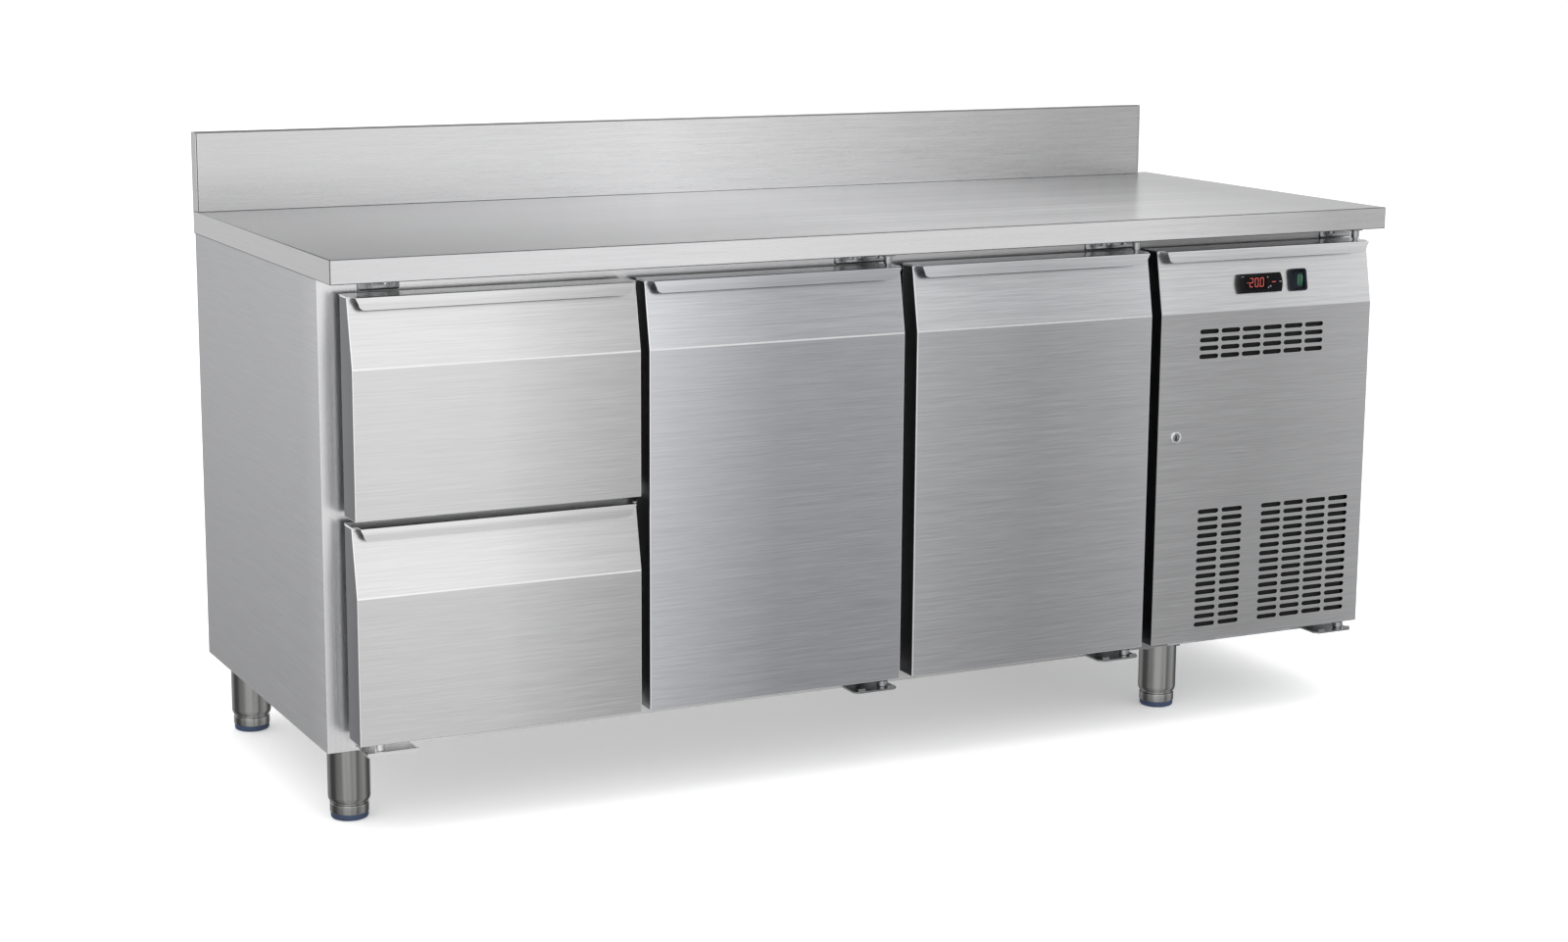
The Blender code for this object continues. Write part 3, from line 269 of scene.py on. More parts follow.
def finned(name, pitch):
    """The edges of stacked aluminium fins, along X, with the gaps between them painted near-black as
    painted shade.
    """
    look = Look(name, (0.55, 0.57, 0.58), 0.42, 1.0)
    wave = look.node("TexWave", wave_type="BANDS", bands_direction="X")
    wave.inputs["Scale"].default_value = 1.0 / pitch / 6.2832 * 3.1416
    wave.inputs["Distortion"].default_value = 0.3
    look.wire(look.place((1, 1, 1)), wave.inputs["Vector"])
    look.color(look.mix(wave.outputs["Fac"], (0.05, 0.05, 0.055), (0.62, 0.64, 0.65)))
    look.bump(wave.outputs["Fac"], 0.6, 0.001)
    look.rough(look.span(wave.outputs["Fac"], 0.6, 0.35, 0, 1))
    return look.made


def lit(name, color, strength):
    """A lens or segment with a light behind it."""
    look = Look(name, color, 0.18, 0.0, Coat_Weight=0.4)
    look.shader.inputs["Emission Color"].default_value = (*color, 1)
    look.shader.inputs["Emission Strength"].default_value = strength
    grain = look.noise(look.place((500, 500, 500)), 1.0, 2, 0.5)
    look.rough(look.span(grain, 0.12, 0.22))
    look.color(look.mix(look.span(grain, 0, 1), tuple(c * 0.8 for c in color), color))
    return look.made


def recess_line(face, high):
    """(y, z) where the slanted recess starts and ends."""
    return (face, high - FOLD_DROP), (face + RECESS, high - SHEET)


def crown_of(node, slope=0.030):
    """The bow of one front's sheet."""
    low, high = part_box(node)
    return (low[0] + high[0]) / 2, (high[0] - low[0]) / 2, slope


def across(node, left, middle, right):
    """A painted reflection: a slow tone change from one side of a front to the other."""
    low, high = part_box(node)
    return 0, ((low[0], left), ((low[0] + high[0]) / 2, middle), (high[0], right))


def recess_light_step(node, gain):
    """The painted light step at a front's fold line: the slanted recess above the fold is made
    lighter.
    """
    low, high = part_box(node)
    fold = recess_line(low[1], high[2])[0][1]
    return 2, ((fold - 0.0004, 1.0), (fold + 0.0004, gain))


LOOKS = {
    # The worktop's fade paints the gradient of its reflections across the top: a painted reflection.
    "worktop": brushed(
        "worktop_steel", (0.58, 0.582, 0.592), 0.25, "X", 1.1, 0.0, None, 1.0,
        [(0, ((-0.80, 0.80), (-0.35, 1.16), (0.0, 1.50), (0.45, 1.38), (0.80, 0.86)))], 0.55, 38,
    ),
    # The worktop's front face and its side faces: lighter copies of the worktop steel, painted light;
    # the front face's fade is a painted reflection.
    "edge": brushed(
        "edge_steel", (0.80, 0.80, 0.81), 0.28, "X", 0.6, 2.0, None, 1.0,
        [(0, ((-0.90, 0.90), (-0.45, 1.15), (0.0, 1.46), (0.35, 1.36), (0.80, 0.79)))],
    ),
    "edge_side": brushed("edge_side_steel", (0.70, 0.70, 0.71), 0.30, "Y", 0.7, 4.0, None, 1.0),
    # The upstand's fade paints the gradient of its reflections: a painted reflection.
    "splash": brushed(
        "upstand_steel", (0.68, 0.68, 0.685), 0.28, "X", 0.7, 3.0, None, 1.0,
        [(0, ((-0.85, 0.88), (-0.35, 1.08), (-0.10, 1.26), (0.30, 1.10), (0.70, 0.84)))],
    ),
    # The side's fade lightens its front part and darkens it towards the back: painted light.
    "side": brushed(
        "side_steel", (0.59, 0.593, 0.608), 0.30, "Y", 0.9, 6.0, None, 1.2,
        [(1, ((-0.34, 1.30), (-0.20, 1.05), (0.0, 1.0), (0.30, 0.95)))],
    ),
    # The stile, the side sheet's front fold, is a lighter copy of the side steel: a painted highlight.
    "stile": brushed("stile_steel", (0.84, 0.84, 0.85), 0.26, "Z", 0.6),
    # The rail's fade: lighter at the left and darker towards the right, painted light and painted
    # shade from the worktop's overhang.
    "frame": brushed(
        "frame_steel", (0.76, 0.76, 0.765), 0.27, "X", 0.8, 5.0, None, 1.0,
        [(0, ((-0.85, 1.20), (0.0, 1.0), (0.35, 0.75), (0.50, 0.45), (0.85, 0.55)))],
    ),
    # The drawers' steel is a lighter copy of the doors' steel: painted light. Each front's fade across
    # it is a painted reflection, and its fold step lightens the recess above the fold as painted
    # light.
    "drawer": brushed(
        "drawer_steel", (0.73, 0.73, 0.732), 0.25, "X", 0.7, 7.0, crown_of("upper_drawer_skin"),
        1.4, [across("upper_drawer_skin", 0.98, 1.12, 0.96)],
    ),
    "centre": brushed(
        "centre_door_steel", (0.555, 0.562, 0.586), 0.24, "X", 0.85, 11.0,
        crown_of("centre_door_skin"), 1.4,
        [recess_light_step("centre_door_skin", 1.06), across("centre_door_skin", 1.22, 0.95, 1.05)],
    ),
    "right": brushed(
        "right_door_steel", (0.555, 0.560, 0.576), 0.24, "X", 0.85, 17.0,
        crown_of("right_door_skin"), 1.4,
        [recess_light_step("right_door_skin", 1.22), across("right_door_skin", 1.10, 0.98, 1.12)],
    ),
    "panel": brushed(
        "panel_steel", (0.545, 0.548, 0.556), 0.25, "X", 0.85, 13.0,
        crown_of("condenser_panel"), 1.4,
        [recess_light_step("condenser_panel", 1.45), across("condenser_panel", 1.10, 0.97, 1.02)],
    ),
    # A dark line on the worktop's and upstand's rounded folds: painted shade.
    "fold_dark": speckled("folded_edge", (0.17, 0.17, 0.18), 0.32, 900, 0.05, 1.0, 0.10),
    # A pale line on the fronts' rounded folds: a painted highlight.
    "fold_light": speckled("polished_fold", (0.93, 0.93, 0.94), 0.25, 900, 0.05, 1.0, 0.03),
    # The fronts' side returns: a near-black copy of the front steel, painted shade for the gaps
    # between fronts.
    "return": brushed("return_steel", (0.15, 0.152, 0.160), 0.34, "Z", 0.7, 19.0, None, 1.6),
    "liner": brushed("liner_steel", (0.62, 0.63, 0.64), 0.38, "Z", 0.6),
    "tube": brushed("leg_steel", (0.32, 0.32, 0.316), 0.16, "Z", 0.9),
    # Zinc-plated steel, its colour darkened for the shade under the worktop's overhang on the hinge
    # plates: painted shade.
    "plated": speckled("zinc_plated", (0.36, 0.365, 0.37), 0.22, 900, 0.06, 1.0, 0.10),
    "bright": speckled("bright_steel", (0.75, 0.76, 0.77), 0.16, 1200, 0.03, 1.0, 0.05),
    "galvanised": spangled("galvanised"),
    "rubber": speckled("seal_rubber", (0.10, 0.10, 0.105), 0.62, 700, 0.2),
    "enamel": speckled("black_enamel", (0.018, 0.018, 0.019), 0.34, 260, 0.25),
    "gloss": speckled(
        "gloss_black", (0.003, 0.003, 0.004), 0.20, 300, 0.02, Specular_IOR_Level=0.12
    ),
    "window": speckled(
        "display_window", (0.002, 0.001, 0.001), 0.10, 200, 0.01, Specular_IOR_Level=0.08
    ),
    "plastic": speckled("black_plastic", (0.016, 0.017, 0.020), 0.34, 1500, 0.10),
    "bezel": speckled(
        "switch_frame", (0.004, 0.007, 0.013), 0.34, 1500, 0.08, Specular_IOR_Level=0.18
    ),
    "pad": speckled("foot_pad", (0.030, 0.052, 0.110), 0.52, 900, 0.12),
    "filter": speckled("filter_mat", (0.006, 0.006, 0.006), 0.95, 260, 0.9),
    "copper": speckled("copper_tube", (0.72, 0.36, 0.22), 0.28, 600, 0.05, 1.0),
    # Near-black for screw recesses and the keyway: painted shade in hollows.
    "dark": speckled("dark_hole", (0.010, 0.010, 0.010), 0.80, 300, 0.3),
    "fins": finned("coil_fins", 0.0021),
    "green_lit": lit("green_lamp", (0.001, 0.050, 0.022), 0.28),
    "red": lit("red_segment", (0.70, 0.120, 0.100), 0.38),
    "mark": lit("key_mark", (0.30, 0.32, 0.33), 0.20),
    "red_mark": lit("lamp_mark", (0.50, 0.060, 0.055), 0.18),
}

# --- mesh helpers ---------------------------------------------------------------------


def finish_piece(
    name, bm, look, body, replaces=(), round_by=0.0, angle=30, segments=3, fold=None
):
    """Makes the object from a bmesh, rounds its edges and hands it to the frame.

    A fold names the look of the rounded edges themselves; the callers use it for painted shade lines
    on the worktop and upstand, and painted highlights on the fronts.
    """
    mesh = bpy.data.meshes.new(name)
    bmesh.ops.recalc_face_normals(bm, faces=bm.faces)
    bm.to_mesh(mesh)
    bm.free()
    mesh.shade_smooth()
    obj = bpy.data.objects.new(name, mesh)
    SCENE.collection.objects.link(obj)
    looks = look if isinstance(look, (list, tuple)) else [look]
    for one in looks:
        mesh.materials.append(LOOKS[one])
    if round_by:
        bevel = obj.modifiers.new("Round", "BEVEL")
        bevel.width = round_by
        bevel.segments = segments
        bevel.limit_method = "ANGLE"
        bevel.angle_limit = math.radians(angle)
        bevel.harden_normals = True
        if fold:
            mesh.materials.append(LOOKS[fold])
            bevel.material = len(mesh.materials) - 1
    else:
        mesh.set_sharp_from_angle(angle=math.radians(angle))
        even = obj.modifiers.new("Even", "WEIGHTED_NORMAL")
        even.keep_sharp = True
        even.weight = 100
    if replaces:
        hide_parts(*replaces)
    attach(obj, body)
    return obj


def centre_of(low, high):
    """The middle of a box."""
    return [(a + b) / 2 for a, b in zip(low, high)]


def ring_points(radius, count, start=0.0, sweep=360.0):
    """Points on a circle, or on an arc with both its ends; the angles are in degrees."""
    closed = sweep >= 360
    steps = count if closed else count - 1
    return [
        (
            radius * math.cos(math.radians(start + sweep * i / steps)),
            radius * math.sin(math.radians(start + sweep * i / steps)),
        )
        for i in range(count)
    ]


def add_prism(bm, outline, start, end, axis="X", slot=0):
    """A closed prism: outline is (y, z) along X, (x, z) along Y and (x, y) along Z."""
    def place(u, v, w):
        return {"X": (w, u, v), "Y": (u, w, v), "Z": (u, v, w)}[axis]

    first = [bm.verts.new(place(u, v, start)) for u, v in outline]
    last = [bm.verts.new(place(u, v, end)) for u, v in outline]
    faces = [bm.faces.new(first), bm.faces.new(last)]
    count = len(outline)
    for i in range(count):
        j = (i + 1) % count
        faces.append(bm.faces.new((first[i], first[j], last[j], last[i])))
    for face in faces:
        face.material_index = slot


def add_block(bm, low, high, slot=0):
    outline = [(low[0], low[1]), (high[0], low[1]), (high[0], high[1]), (low[0], high[1])]
    add_prism(bm, outline, low[2], high[2], "Z", slot)


def add_turned(bm, profile, matrix, steps=48, slot=0):
    """A lathe of (radius, height) points about the matrix's Z axis."""
    rings = []
    for radius, height in profile:
        if radius < 1e-6:
            rings.append([bm.verts.new(matrix @ Vector((0, 0, height)))])
            continue
        ring = [
            bm.verts.new(matrix @ Vector((x, y, height))) for x, y in ring_points(radius, steps)
        ]
        rings.append(ring)
    for a, b in zip(rings, rings[1:]):
        for i in range(steps):
            j = (i + 1) % steps
            corners = [a[i % len(a)], a[j % len(a)], b[j % len(b)], b[i % len(b)]]
            unique = list(dict.fromkeys(corners))
            if len(unique) > 2:
                bm.faces.new(unique).material_index = slot


def add_tube(bm, points, radius, sides=12, slot=0):
    """A round wire through the points, closed at both ends."""
    points = [Vector(p) for p in points]
    rings = []
    normal = None
    for i, point in enumerate(points):
        ahead = points[min(i + 1, len(points) - 1)] - points[max(i - 1, 0)]
        ahead.normalize()
        if normal is None:
            normal = ahead.orthogonal().normalized()
        normal = (normal - ahead * normal.dot(ahead)).normalized()
        across = ahead.cross(normal)
        rings.append(
            [bm.verts.new(point + normal * x + across * y) for x, y in ring_points(radius, sides)]
        )
    for a, b in zip(rings, rings[1:]):
        for i in range(sides):
            j = (i + 1) % sides
            bm.faces.new((a[i], a[j], b[j], b[i])).material_index = slot
    bm.faces.new(rings[0]).material_index = slot
    bm.faces.new(rings[-1]).material_index = slot


def smooth_path(points, radius, steps=6):
    """The corners of a path rounded off."""
    points = [Vector(p) for p in points]
    out = [points[0]]
    for before, corner, after in zip(points, points[1:], points[2:]):
        first = before - corner
        second = after - corner
        reach = min(radius, first.length * 0.49, second.length * 0.49)
        start = corner + first.normalized() * reach
        end = corner + second.normalized() * reach
        for i in range(steps + 1):
            t = i / steps
            out.append(start * (1 - t) ** 2 + corner * 2 * t * (1 - t) + end * t * t)
    out.append(points[-1])
    return out


def add_ruled(bm, rows, thickness):
    """A sheet through rows of (left, right, y, z), thickened towards the row's offset side."""
    count = len(rows)
    outer = [[bm.verts.new((x, y, z)) for x in (left, right)] for left, right, y, z in rows]
    inner = []
    for i in range(count):
        before = rows[max(i - 1, 0)]
        after = rows[min(i + 1, count - 1)]
        run = Vector((0, after[2] - before[2], after[3] - before[3]))
        if run.length < 1e-9:
            run = Vector((0, 0, -1))
        side = Vector((0, -run.z, run.y)).normalized() * thickness
        left, right, y, z = rows[i]
        inner.append([bm.verts.new(Vector((x, y, z)) + side) for x in (left, right)])
    faces = []
    for i in range(count - 1):
        faces.append((outer[i][0], outer[i][1], outer[i + 1][1], outer[i + 1][0]))
        faces.append((inner[i][0], inner[i + 1][0], inner[i + 1][1], inner[i][1]))
        faces.append((outer[i][0], outer[i + 1][0], inner[i + 1][0], inner[i][0]))
        faces.append((outer[i][1], inner[i][1], inner[i + 1][1], outer[i + 1][1]))
    faces.append((outer[0][0], inner[0][0], inner[0][1], outer[0][1]))
    faces.append((outer[-1][0], outer[-1][1], inner[-1][1], inner[-1][0]))
    for corners in faces:
        bm.faces.new(corners)


def plate_curve(name, loops, thickness, bevel=0.0):
    """A flat plate with holes, as a mesh in the XY plane, centred on it."""
    curve = bpy.data.curves.new(name, "CURVE")
    curve.dimensions = "2D"
    curve.fill_mode = "BOTH"
    curve.extrude = thickness / 2 - bevel
    curve.bevel_depth = bevel
    curve.bevel_resolution = 1
    for loop in loops:
        spline = curve.splines.new("POLY")
        spline.points.add(len(loop) - 1)
        for point, (u, v) in zip(spline.points, loop):
            point.co = (u, v, 0, 1)
        spline.use_cyclic_u = True
    holder = bpy.data.objects.new(name + "_curve", curve)
    SCENE.collection.objects.link(holder)
    graph = bpy.context.evaluated_depsgraph_get()
    mesh = bpy.data.meshes.new_from_object(holder.evaluated_get(graph))
    bpy.data.objects.remove(holder, do_unlink=True)
    return mesh


def add_mesh(bm, mesh, matrix):
    """Adds a mesh to the bmesh, welded and moved."""
    part = bmesh.new()
    part.from_mesh(mesh)
    bmesh.ops.remove_doubles(part, verts=part.verts, dist=0.00001)
    bmesh.ops.transform(part, matrix=matrix, verts=part.verts)
    moved = bpy.data.meshes.new("moved")
    part.to_mesh(moved)
    part.free()
    bm.from_mesh(moved)
    bpy.data.meshes.remove(moved)


STAND_UP = Matrix.Rotation(math.radians(90), 4, "X")


def rounded_slot(middle, height, length, tall, steps=5):
    """A stadium outline."""
    radius = tall / 2
    points = []
    for start, centre in ((-90, middle + length / 2 - radius), (90, middle - length / 2 + radius)):
        for x, y in ring_points(radius, steps, start, 180):
            points.append((centre + x, height + y))
    return points


def rounded_rect(width, height, radius, steps=5, centre=(0, 0)):
    """A rectangle with round corners."""
    points = []
    corners = ((1, -1, -90), (1, 1, 0), (-1, 1, 90), (-1, -1, 180))
    for sx, sy, start in corners:
        cx = centre[0] + sx * (width / 2 - radius)
        cy = centre[1] + sy * (height / 2 - radius)
        for x, y in ring_points(radius, steps, start, 90):
            points.append((cx + x, cy + y))
    return points


# --- fronts ---------------------------------------------------------------------------


def lip_rows(low, high):
    """Rows of the top sheet and its turned-down lip, from the rear forwards."""
    left, right = low[0], high[0]
    face, rear = low[1], high[1]
    top = high[2]
    step = face + RECESS - 0.003
    rows = [(left, right, rear, top), (left, right, step + 0.0001, top)]
    inset = LIP_END
    rows.append((left + inset, right - inset, step, top))
    for i in range(5):
        angle = math.radians(90 * i / 4)
        y = face + BEND - BEND * math.sin(angle)
        z = top - BEND + BEND * math.cos(angle)
        rows.append((left + inset, right - inset, y, z))
    bottom = top - LIP_HEIGHT
    knee = bottom + LIP_CORNER * 0.8
    rows.append((left + inset + LIP_SLANT, right - inset - LIP_SLANT, face, knee))
    for i in range(1, 7):
        angle = math.radians(90 * i / 6)
        more = inset + LIP_SLANT + LIP_CORNER * (1 - math.cos(angle))
        z = knee - (knee - bottom) * math.sin(angle)
        rows.append((left + more, right - more, face, z))
    return rows


def grip_lip(name, low, high, look, body):
    """The top sheet of a front and the lip that it turns down into."""
    bm = bmesh.new()
    add_ruled(bm, lip_rows(low, high), SHEET)
    finish_piece(f"{name}_grip_lip", bm, look, body, (), 0.0004, 40, 2)


def front(name, look, body):
    """A door or drawer front: its folded pan as one rounded block, and its grip lip."""
    low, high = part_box(f"{name}_skin")
    fold, top = recess_line(low[1], high[2])
    rear = high[1] - FOLD_GAP
    bm = bmesh.new()
    outline = [(rear, low[2]), (low[1], low[2]), fold, top, (rear, top[1])]
    add_prism(bm, outline, low[0], high[0])
    # The shell's rounded folds get the pale fold look: a painted highlight.
    obj = finish_piece(
        f"{name}_shell", bm, [look, "return"], body, [f"{name}_skin"], 0.0013,
        8, fold="fold_light",
    )
    # The side returns get the near-black return steel: painted shade.
    by_direction(obj, 0, 1)
    grip_lip(name, low, high, look, body)


def liner(name, body):
    """The pressed inner sheet of a front, with a stepped field and a seal channel."""
    low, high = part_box(f"{name}_core")
    bm = bmesh.new()
    rear = high[1]
    fields = (
        (0.0000, rear - 0.0030, rear - 0.0008),
        (0.0420, rear - 0.0010, rear + 0.0045),
        (0.0620, rear + 0.0040, rear + 0.0075),
    )
    middle = centre_of(low, high)[::2]
    for inset, near, far in fields:
        width = high[0] - low[0] - 2 * inset
        height = high[2] - low[2] - 2 * inset
        loop = rounded_rect(width, height, 0.004 + inset * 0.5, 6, middle)
        add_prism(bm, loop, near, far, "Y")
    finish_piece(
        f"{name}_liner", bm, "liner", body, [f"{name}_core"], 0.0012, 40
    )


def seal(name, body):
    """A magnetic seal: a bellows section swept round the four sides with mitred corners."""
    low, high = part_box(f"{name}_gasket")
    deep = high[1] - low[1]
    wide = 0.0150
    section = [
        (0.000, 0.00), (0.000, 0.22), (0.0030, 0.32), (0.0008, 0.46), (0.0032, 0.62),
        (0.0006, 0.74), (0.0006, 1.00), (wide - 0.0006, 1.00), (wide - 0.0006, 0.74),
        (wide - 0.0032, 0.62), (wide - 0.0008, 0.46), (wide - 0.0030, 0.32), (wide, 0.22),
        (wide, 0.0),
    ]
    bm = bmesh.new()
    rings = []
    for sx, sz in ((0, 0), (1, 0), (1, 1), (0, 1)):
        ring = []
        for inset, along in section:
            x = high[0] - inset if sx else low[0] + inset
            z = high[2] - inset if sz else low[2] + inset
            ring.append(bm.verts.new((x, low[1] + deep * along, z)))
        rings.append(ring)
    count = len(section)
    for k in range(4):
        a, b = rings[k], rings[(k + 1) % 4]
        for i in range(count):
            j = (i + 1) % count
            bm.faces.new((a[i], a[j], b[j], b[i]))
    finish_piece(
        f"{name}_seal", bm, "rubber", body, [f"{name}_gasket"], 0.0005, 30, 2
    )


# --- service panel --------------------------------------------------------------------


def louvre_fields(low, high):
    """(first middle, pitch, columns, slot length, top row, rows) of each field of slots."""
    left = low[0]
    return (
        (left + 0.0926, 0.0411, 6, 0.0370, high[2] - 0.1310, 4),
        (left + 0.1020, 0.0468, 2, 0.0408, low[2] + 0.2140, 15),
        (left + 0.2265, 0.0452, 4, 0.0400, low[2] + 0.2140, 15),
    )


def louvre_loops(low, high):
    """The outline of every slot."""
    loops = []
    for first, pitch, columns, length, top, rows in louvre_fields(low, high):
        for column in range(columns):
            middle = first + column * pitch
            for row in range(rows):
                loops.append(rounded_slot(middle, top - row * SLOT_PITCH, length, SLOT_HEIGHT))
    return loops


def service_panel():
    """The compressor bay's sheet door: punched face, slanted recess, returns and lip."""
    low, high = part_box("condenser_panel")
    face = low[1]
    fold, top = recess_line(face, high[2])
    bm = bmesh.new()
    middle = ((low[0] + high[0]) / 2, (fold[1] + low[2]) / 2)
    field = rounded_rect(high[0] - low[0], fold[1] - low[2], 0.0003, 2, middle)
    lock_x, _, lock_z = centre_of(*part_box("lock_housing"))
    hole = [(lock_x + x, lock_z + y) for x, y in ring_points(0.0078, 24)]
    mesh = plate_curve("punched", [field, hole] + louvre_loops(low, high), SHEET, 0.0001)
    add_mesh(bm, mesh, Matrix.Translation((0, face + SHEET / 2, 0)) @ STAND_UP)
    finish_piece(
        "service_panel_face", bm, "panel", "service_panel", ["condenser_panel"]
    )
    bm = bmesh.new()
    rear = high[1]
    tilt = Vector((0, top[0] - fold[0], top[1] - fold[1])).normalized()
    inward = Vector((0, tilt.z, -tilt.y)) * SHEET
    recess = [
        fold,
        top,
        (top[0] + inward.y, top[1] + inward.z),
        (fold[0] + inward.y, fold[1] + inward.z),
    ]
    add_prism(bm, recess, low[0], high[0])
    inner = 0.0002
    side = [
        (rear, low[2]), (face + inner, low[2]), (fold[0] + inner, fold[1]), top, (rear, top[1])
    ]
    for start in (low[0], high[0] - SHEET):
        add_prism(bm, side, start, start + SHEET)
    bottom = (low[0] + inner, face + inner, low[2])
    add_block(bm, bottom, (high[0] - inner, rear, low[2] + SHEET))
    flange = 0.012
    for start in (low[0] + SHEET, high[0] - SHEET - flange):
        corner = (start + flange, rear, top[1] - SHEET)
        add_block(bm, (start, rear - SHEET, low[2] + SHEET), corner)
    obj = finish_piece(
        "service_panel_returns", bm, ["panel", "return"], "service_panel", (),
        0.0003, 30, 2,
    )
    # The side returns get the near-black return steel: painted shade.
    by_direction(obj, 0, 1)
    grip_lip("service_panel", low, high, "panel", "service_panel")
    mat = bmesh.new()
    add_block(
        mat,
        (low[0] + 0.012, face + 0.006, low[2] + 0.010),
        (high[0] - 0.030, face + 0.010, fold[1] - 0.010),
    )
    finish_piece(
        "service_panel_filter", mat, "filter", "service_panel", (), 0.001, 30, 2
    )


def on_recess(x, z):
    """The matrix at a point of the recess: X along, Y up the slope and Z out of the face."""
    low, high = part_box("condenser_panel")
    fold, top = recess_line(low[1], high[2])
    tilt = math.atan2(top[0] - fold[0], top[1] - fold[1])
    y = fold[0] + (z - fold[1]) * math.tan(tilt)
    up = Vector((0, math.sin(tilt), math.cos(tilt)))
    out = Vector((0, -math.cos(tilt), math.sin(tilt)))
    turn = Matrix((Vector((1, 0, 0)), up, out)).transposed().to_4x4()
    return Matrix.Translation((x, y, z)) @ turn


def transformed(bm, start, matrix):
    """Moves the vertices made since start."""
    bm.verts.ensure_lookup_table()
    bmesh.ops.transform(bm, matrix=matrix, verts=bm.verts[start:])


def add_loft(bm, loops, slot=0):
    """A closed stack of loops of equal length, each at its own height."""
    rings = [[bm.verts.new((x, y, z)) for x, y in loop] for loop, z in loops]
    for a, b in zip(rings, rings[1:]):
        count = len(a)
        for i in range(count):
            j = (i + 1) % count
            bm.faces.new((a[i], a[j], b[j], b[i])).material_index = slot
    bm.faces.new(rings[0]).material_index = slot
    bm.faces.new(rings[-1]).material_index = slot


def bowed_rect(width, height, bow, corner, steps=7):
    """A rectangle whose two short ends bulge outwards."""
    points = []
    for side in (1, -1):
        for i in range(steps * 2 + 1):
            t = -1 + i / steps
            across = side * (width / 2 - bow * t * t)
            points.append((across, side * t * (height / 2 - corner * 0.2)))
    return points


# The strokes of each digit, and each stroke's start and end in shares of the digit's size
SEGMENTS = {"0": "abcdef", "2": "abged"}
STROKES = {
    "a": (0, 1, 1, 1), "b": (1, 0.5, 1, 1), "c": (1, 0, 1, 0.5), "d": (0, 0, 1, 0),
    "e": (0, 0, 0, 0.5), "f": (0, 0.5, 0, 1), "g": (0, 0.5, 1, 0.5),
}


def add_digit(bm, digit, x, y, z):
    """A seven-segment digit with slanted strokes."""
    width, height, thick = 0.0060, 0.0136, 0.0007
    for key in SEGMENTS[digit]:
        u0, v0, u1, v1 = STROKES[key]
        start = Vector((x + u0 * width, y + v0 * height))
        end = Vector((x + u1 * width, y + v1 * height))
        along = (end - start).normalized()
        across = Vector((-along.y, along.x)) * thick / 2
        start = start + along * thick * 0.65
        end = end - along * thick * 0.65
        tip = along * thick * 0.5
        loop = [start - tip, start + across, end + across, end + tip, end - across, start - across]
        slant = [(p.x + 0.12 * (p.y - y), p.y) for p in loop]
        add_loft(bm, [(slant, z), (slant, z + INK)])


# X and Z of each middle on the recess, and how far the display's marks stand out
CONTROLLER = (0.6562, 0.7162)
SWITCH = (0.7325, 0.7178)
INK = 0.00015


def controller():
    """The temperature controller: bowed gloss bezel, window, red digits and touch keys."""
    place = on_recess(*CONTROLLER)
    width, height, out = 0.0850, 0.0320, 0.0084
    bm = bmesh.new()
    steps = (
        (0.0, 0.0003), (0.0, out - 0.0012), (0.0004, out - 0.0005), (0.0012, out - 0.0001),
        (0.0015, out - 0.0001), (0.0018, out - 0.0004),
    )
    loops = []
    for inset, z in steps:
        loops.append((bowed_rect(width - 2 * inset, height - 2 * inset, 0.0032, 0.002), z))
    add_loft(bm, loops)
    window = rounded_rect(0.0440, 0.0215, 0.0018, 4, (-0.0105, 0))
    inner = rounded_rect(0.0432, 0.0207, 0.0016, 4, (-0.0105, 0))
    add_loft(bm, [(window, out - 0.0006), (window, out - 0.0002), (inner, out)], 1)
    case = rounded_rect(width - 0.0145, height - 0.0105, 0.002)
    add_loft(bm, [(case, -0.029), (case, 0.0006)])
    transformed(bm, 0, place)
    finish_piece(
        "controller_bezel", bm, ["gloss", "window"], "service_panel",
        ["controller"], 0, 40,
    )
    bm = bmesh.new()
    for i, digit in enumerate("200"):
        add_digit(bm, digit, -0.0232 + 0.0103 * i, -0.0058, out)
    minus = rounded_rect(0.0030, 0.0008, 0.0003, 3, (-0.0262, 0.0010))
    point = rounded_rect(0.0011, 0.0011, 0.0005, 3, (-0.0042, -0.0058))
    for loop in (minus, point):
        add_loft(bm, [(loop, out), (loop, out + INK)])
    transformed(bm, 0, place)
    finish_piece("controller_digits", bm, "red", "service_panel")
    bm = bmesh.new()
    marks = (
        (0.0132, -0.0082, 0.0018, 0.0016, 0), (0.0174, -0.0062, 0.0034, 0.0015, 0),
        (0.0377, 0.0005, 0.0046, 0.0010, 0), (-0.0355, 0.0110, 0.0050, 0.0006, 0),
        (0.0246, 0.0005, 0.0078, 0.0014, 1), (0.0132, 0.0086, 0.0018, 0.0015, 0),
    )
    for x, y, long, tall, slot in marks:
        loop = rounded_rect(long, tall, tall * 0.45, 4, (x, y))
        add_loft(bm, [(loop, out - 0.0003), (loop, out + 0.00012)], slot)
    transformed(bm, 0, place)
    finish_piece(
        "controller_key_marks", bm, ["mark", "red_mark"], "service_panel"
    )


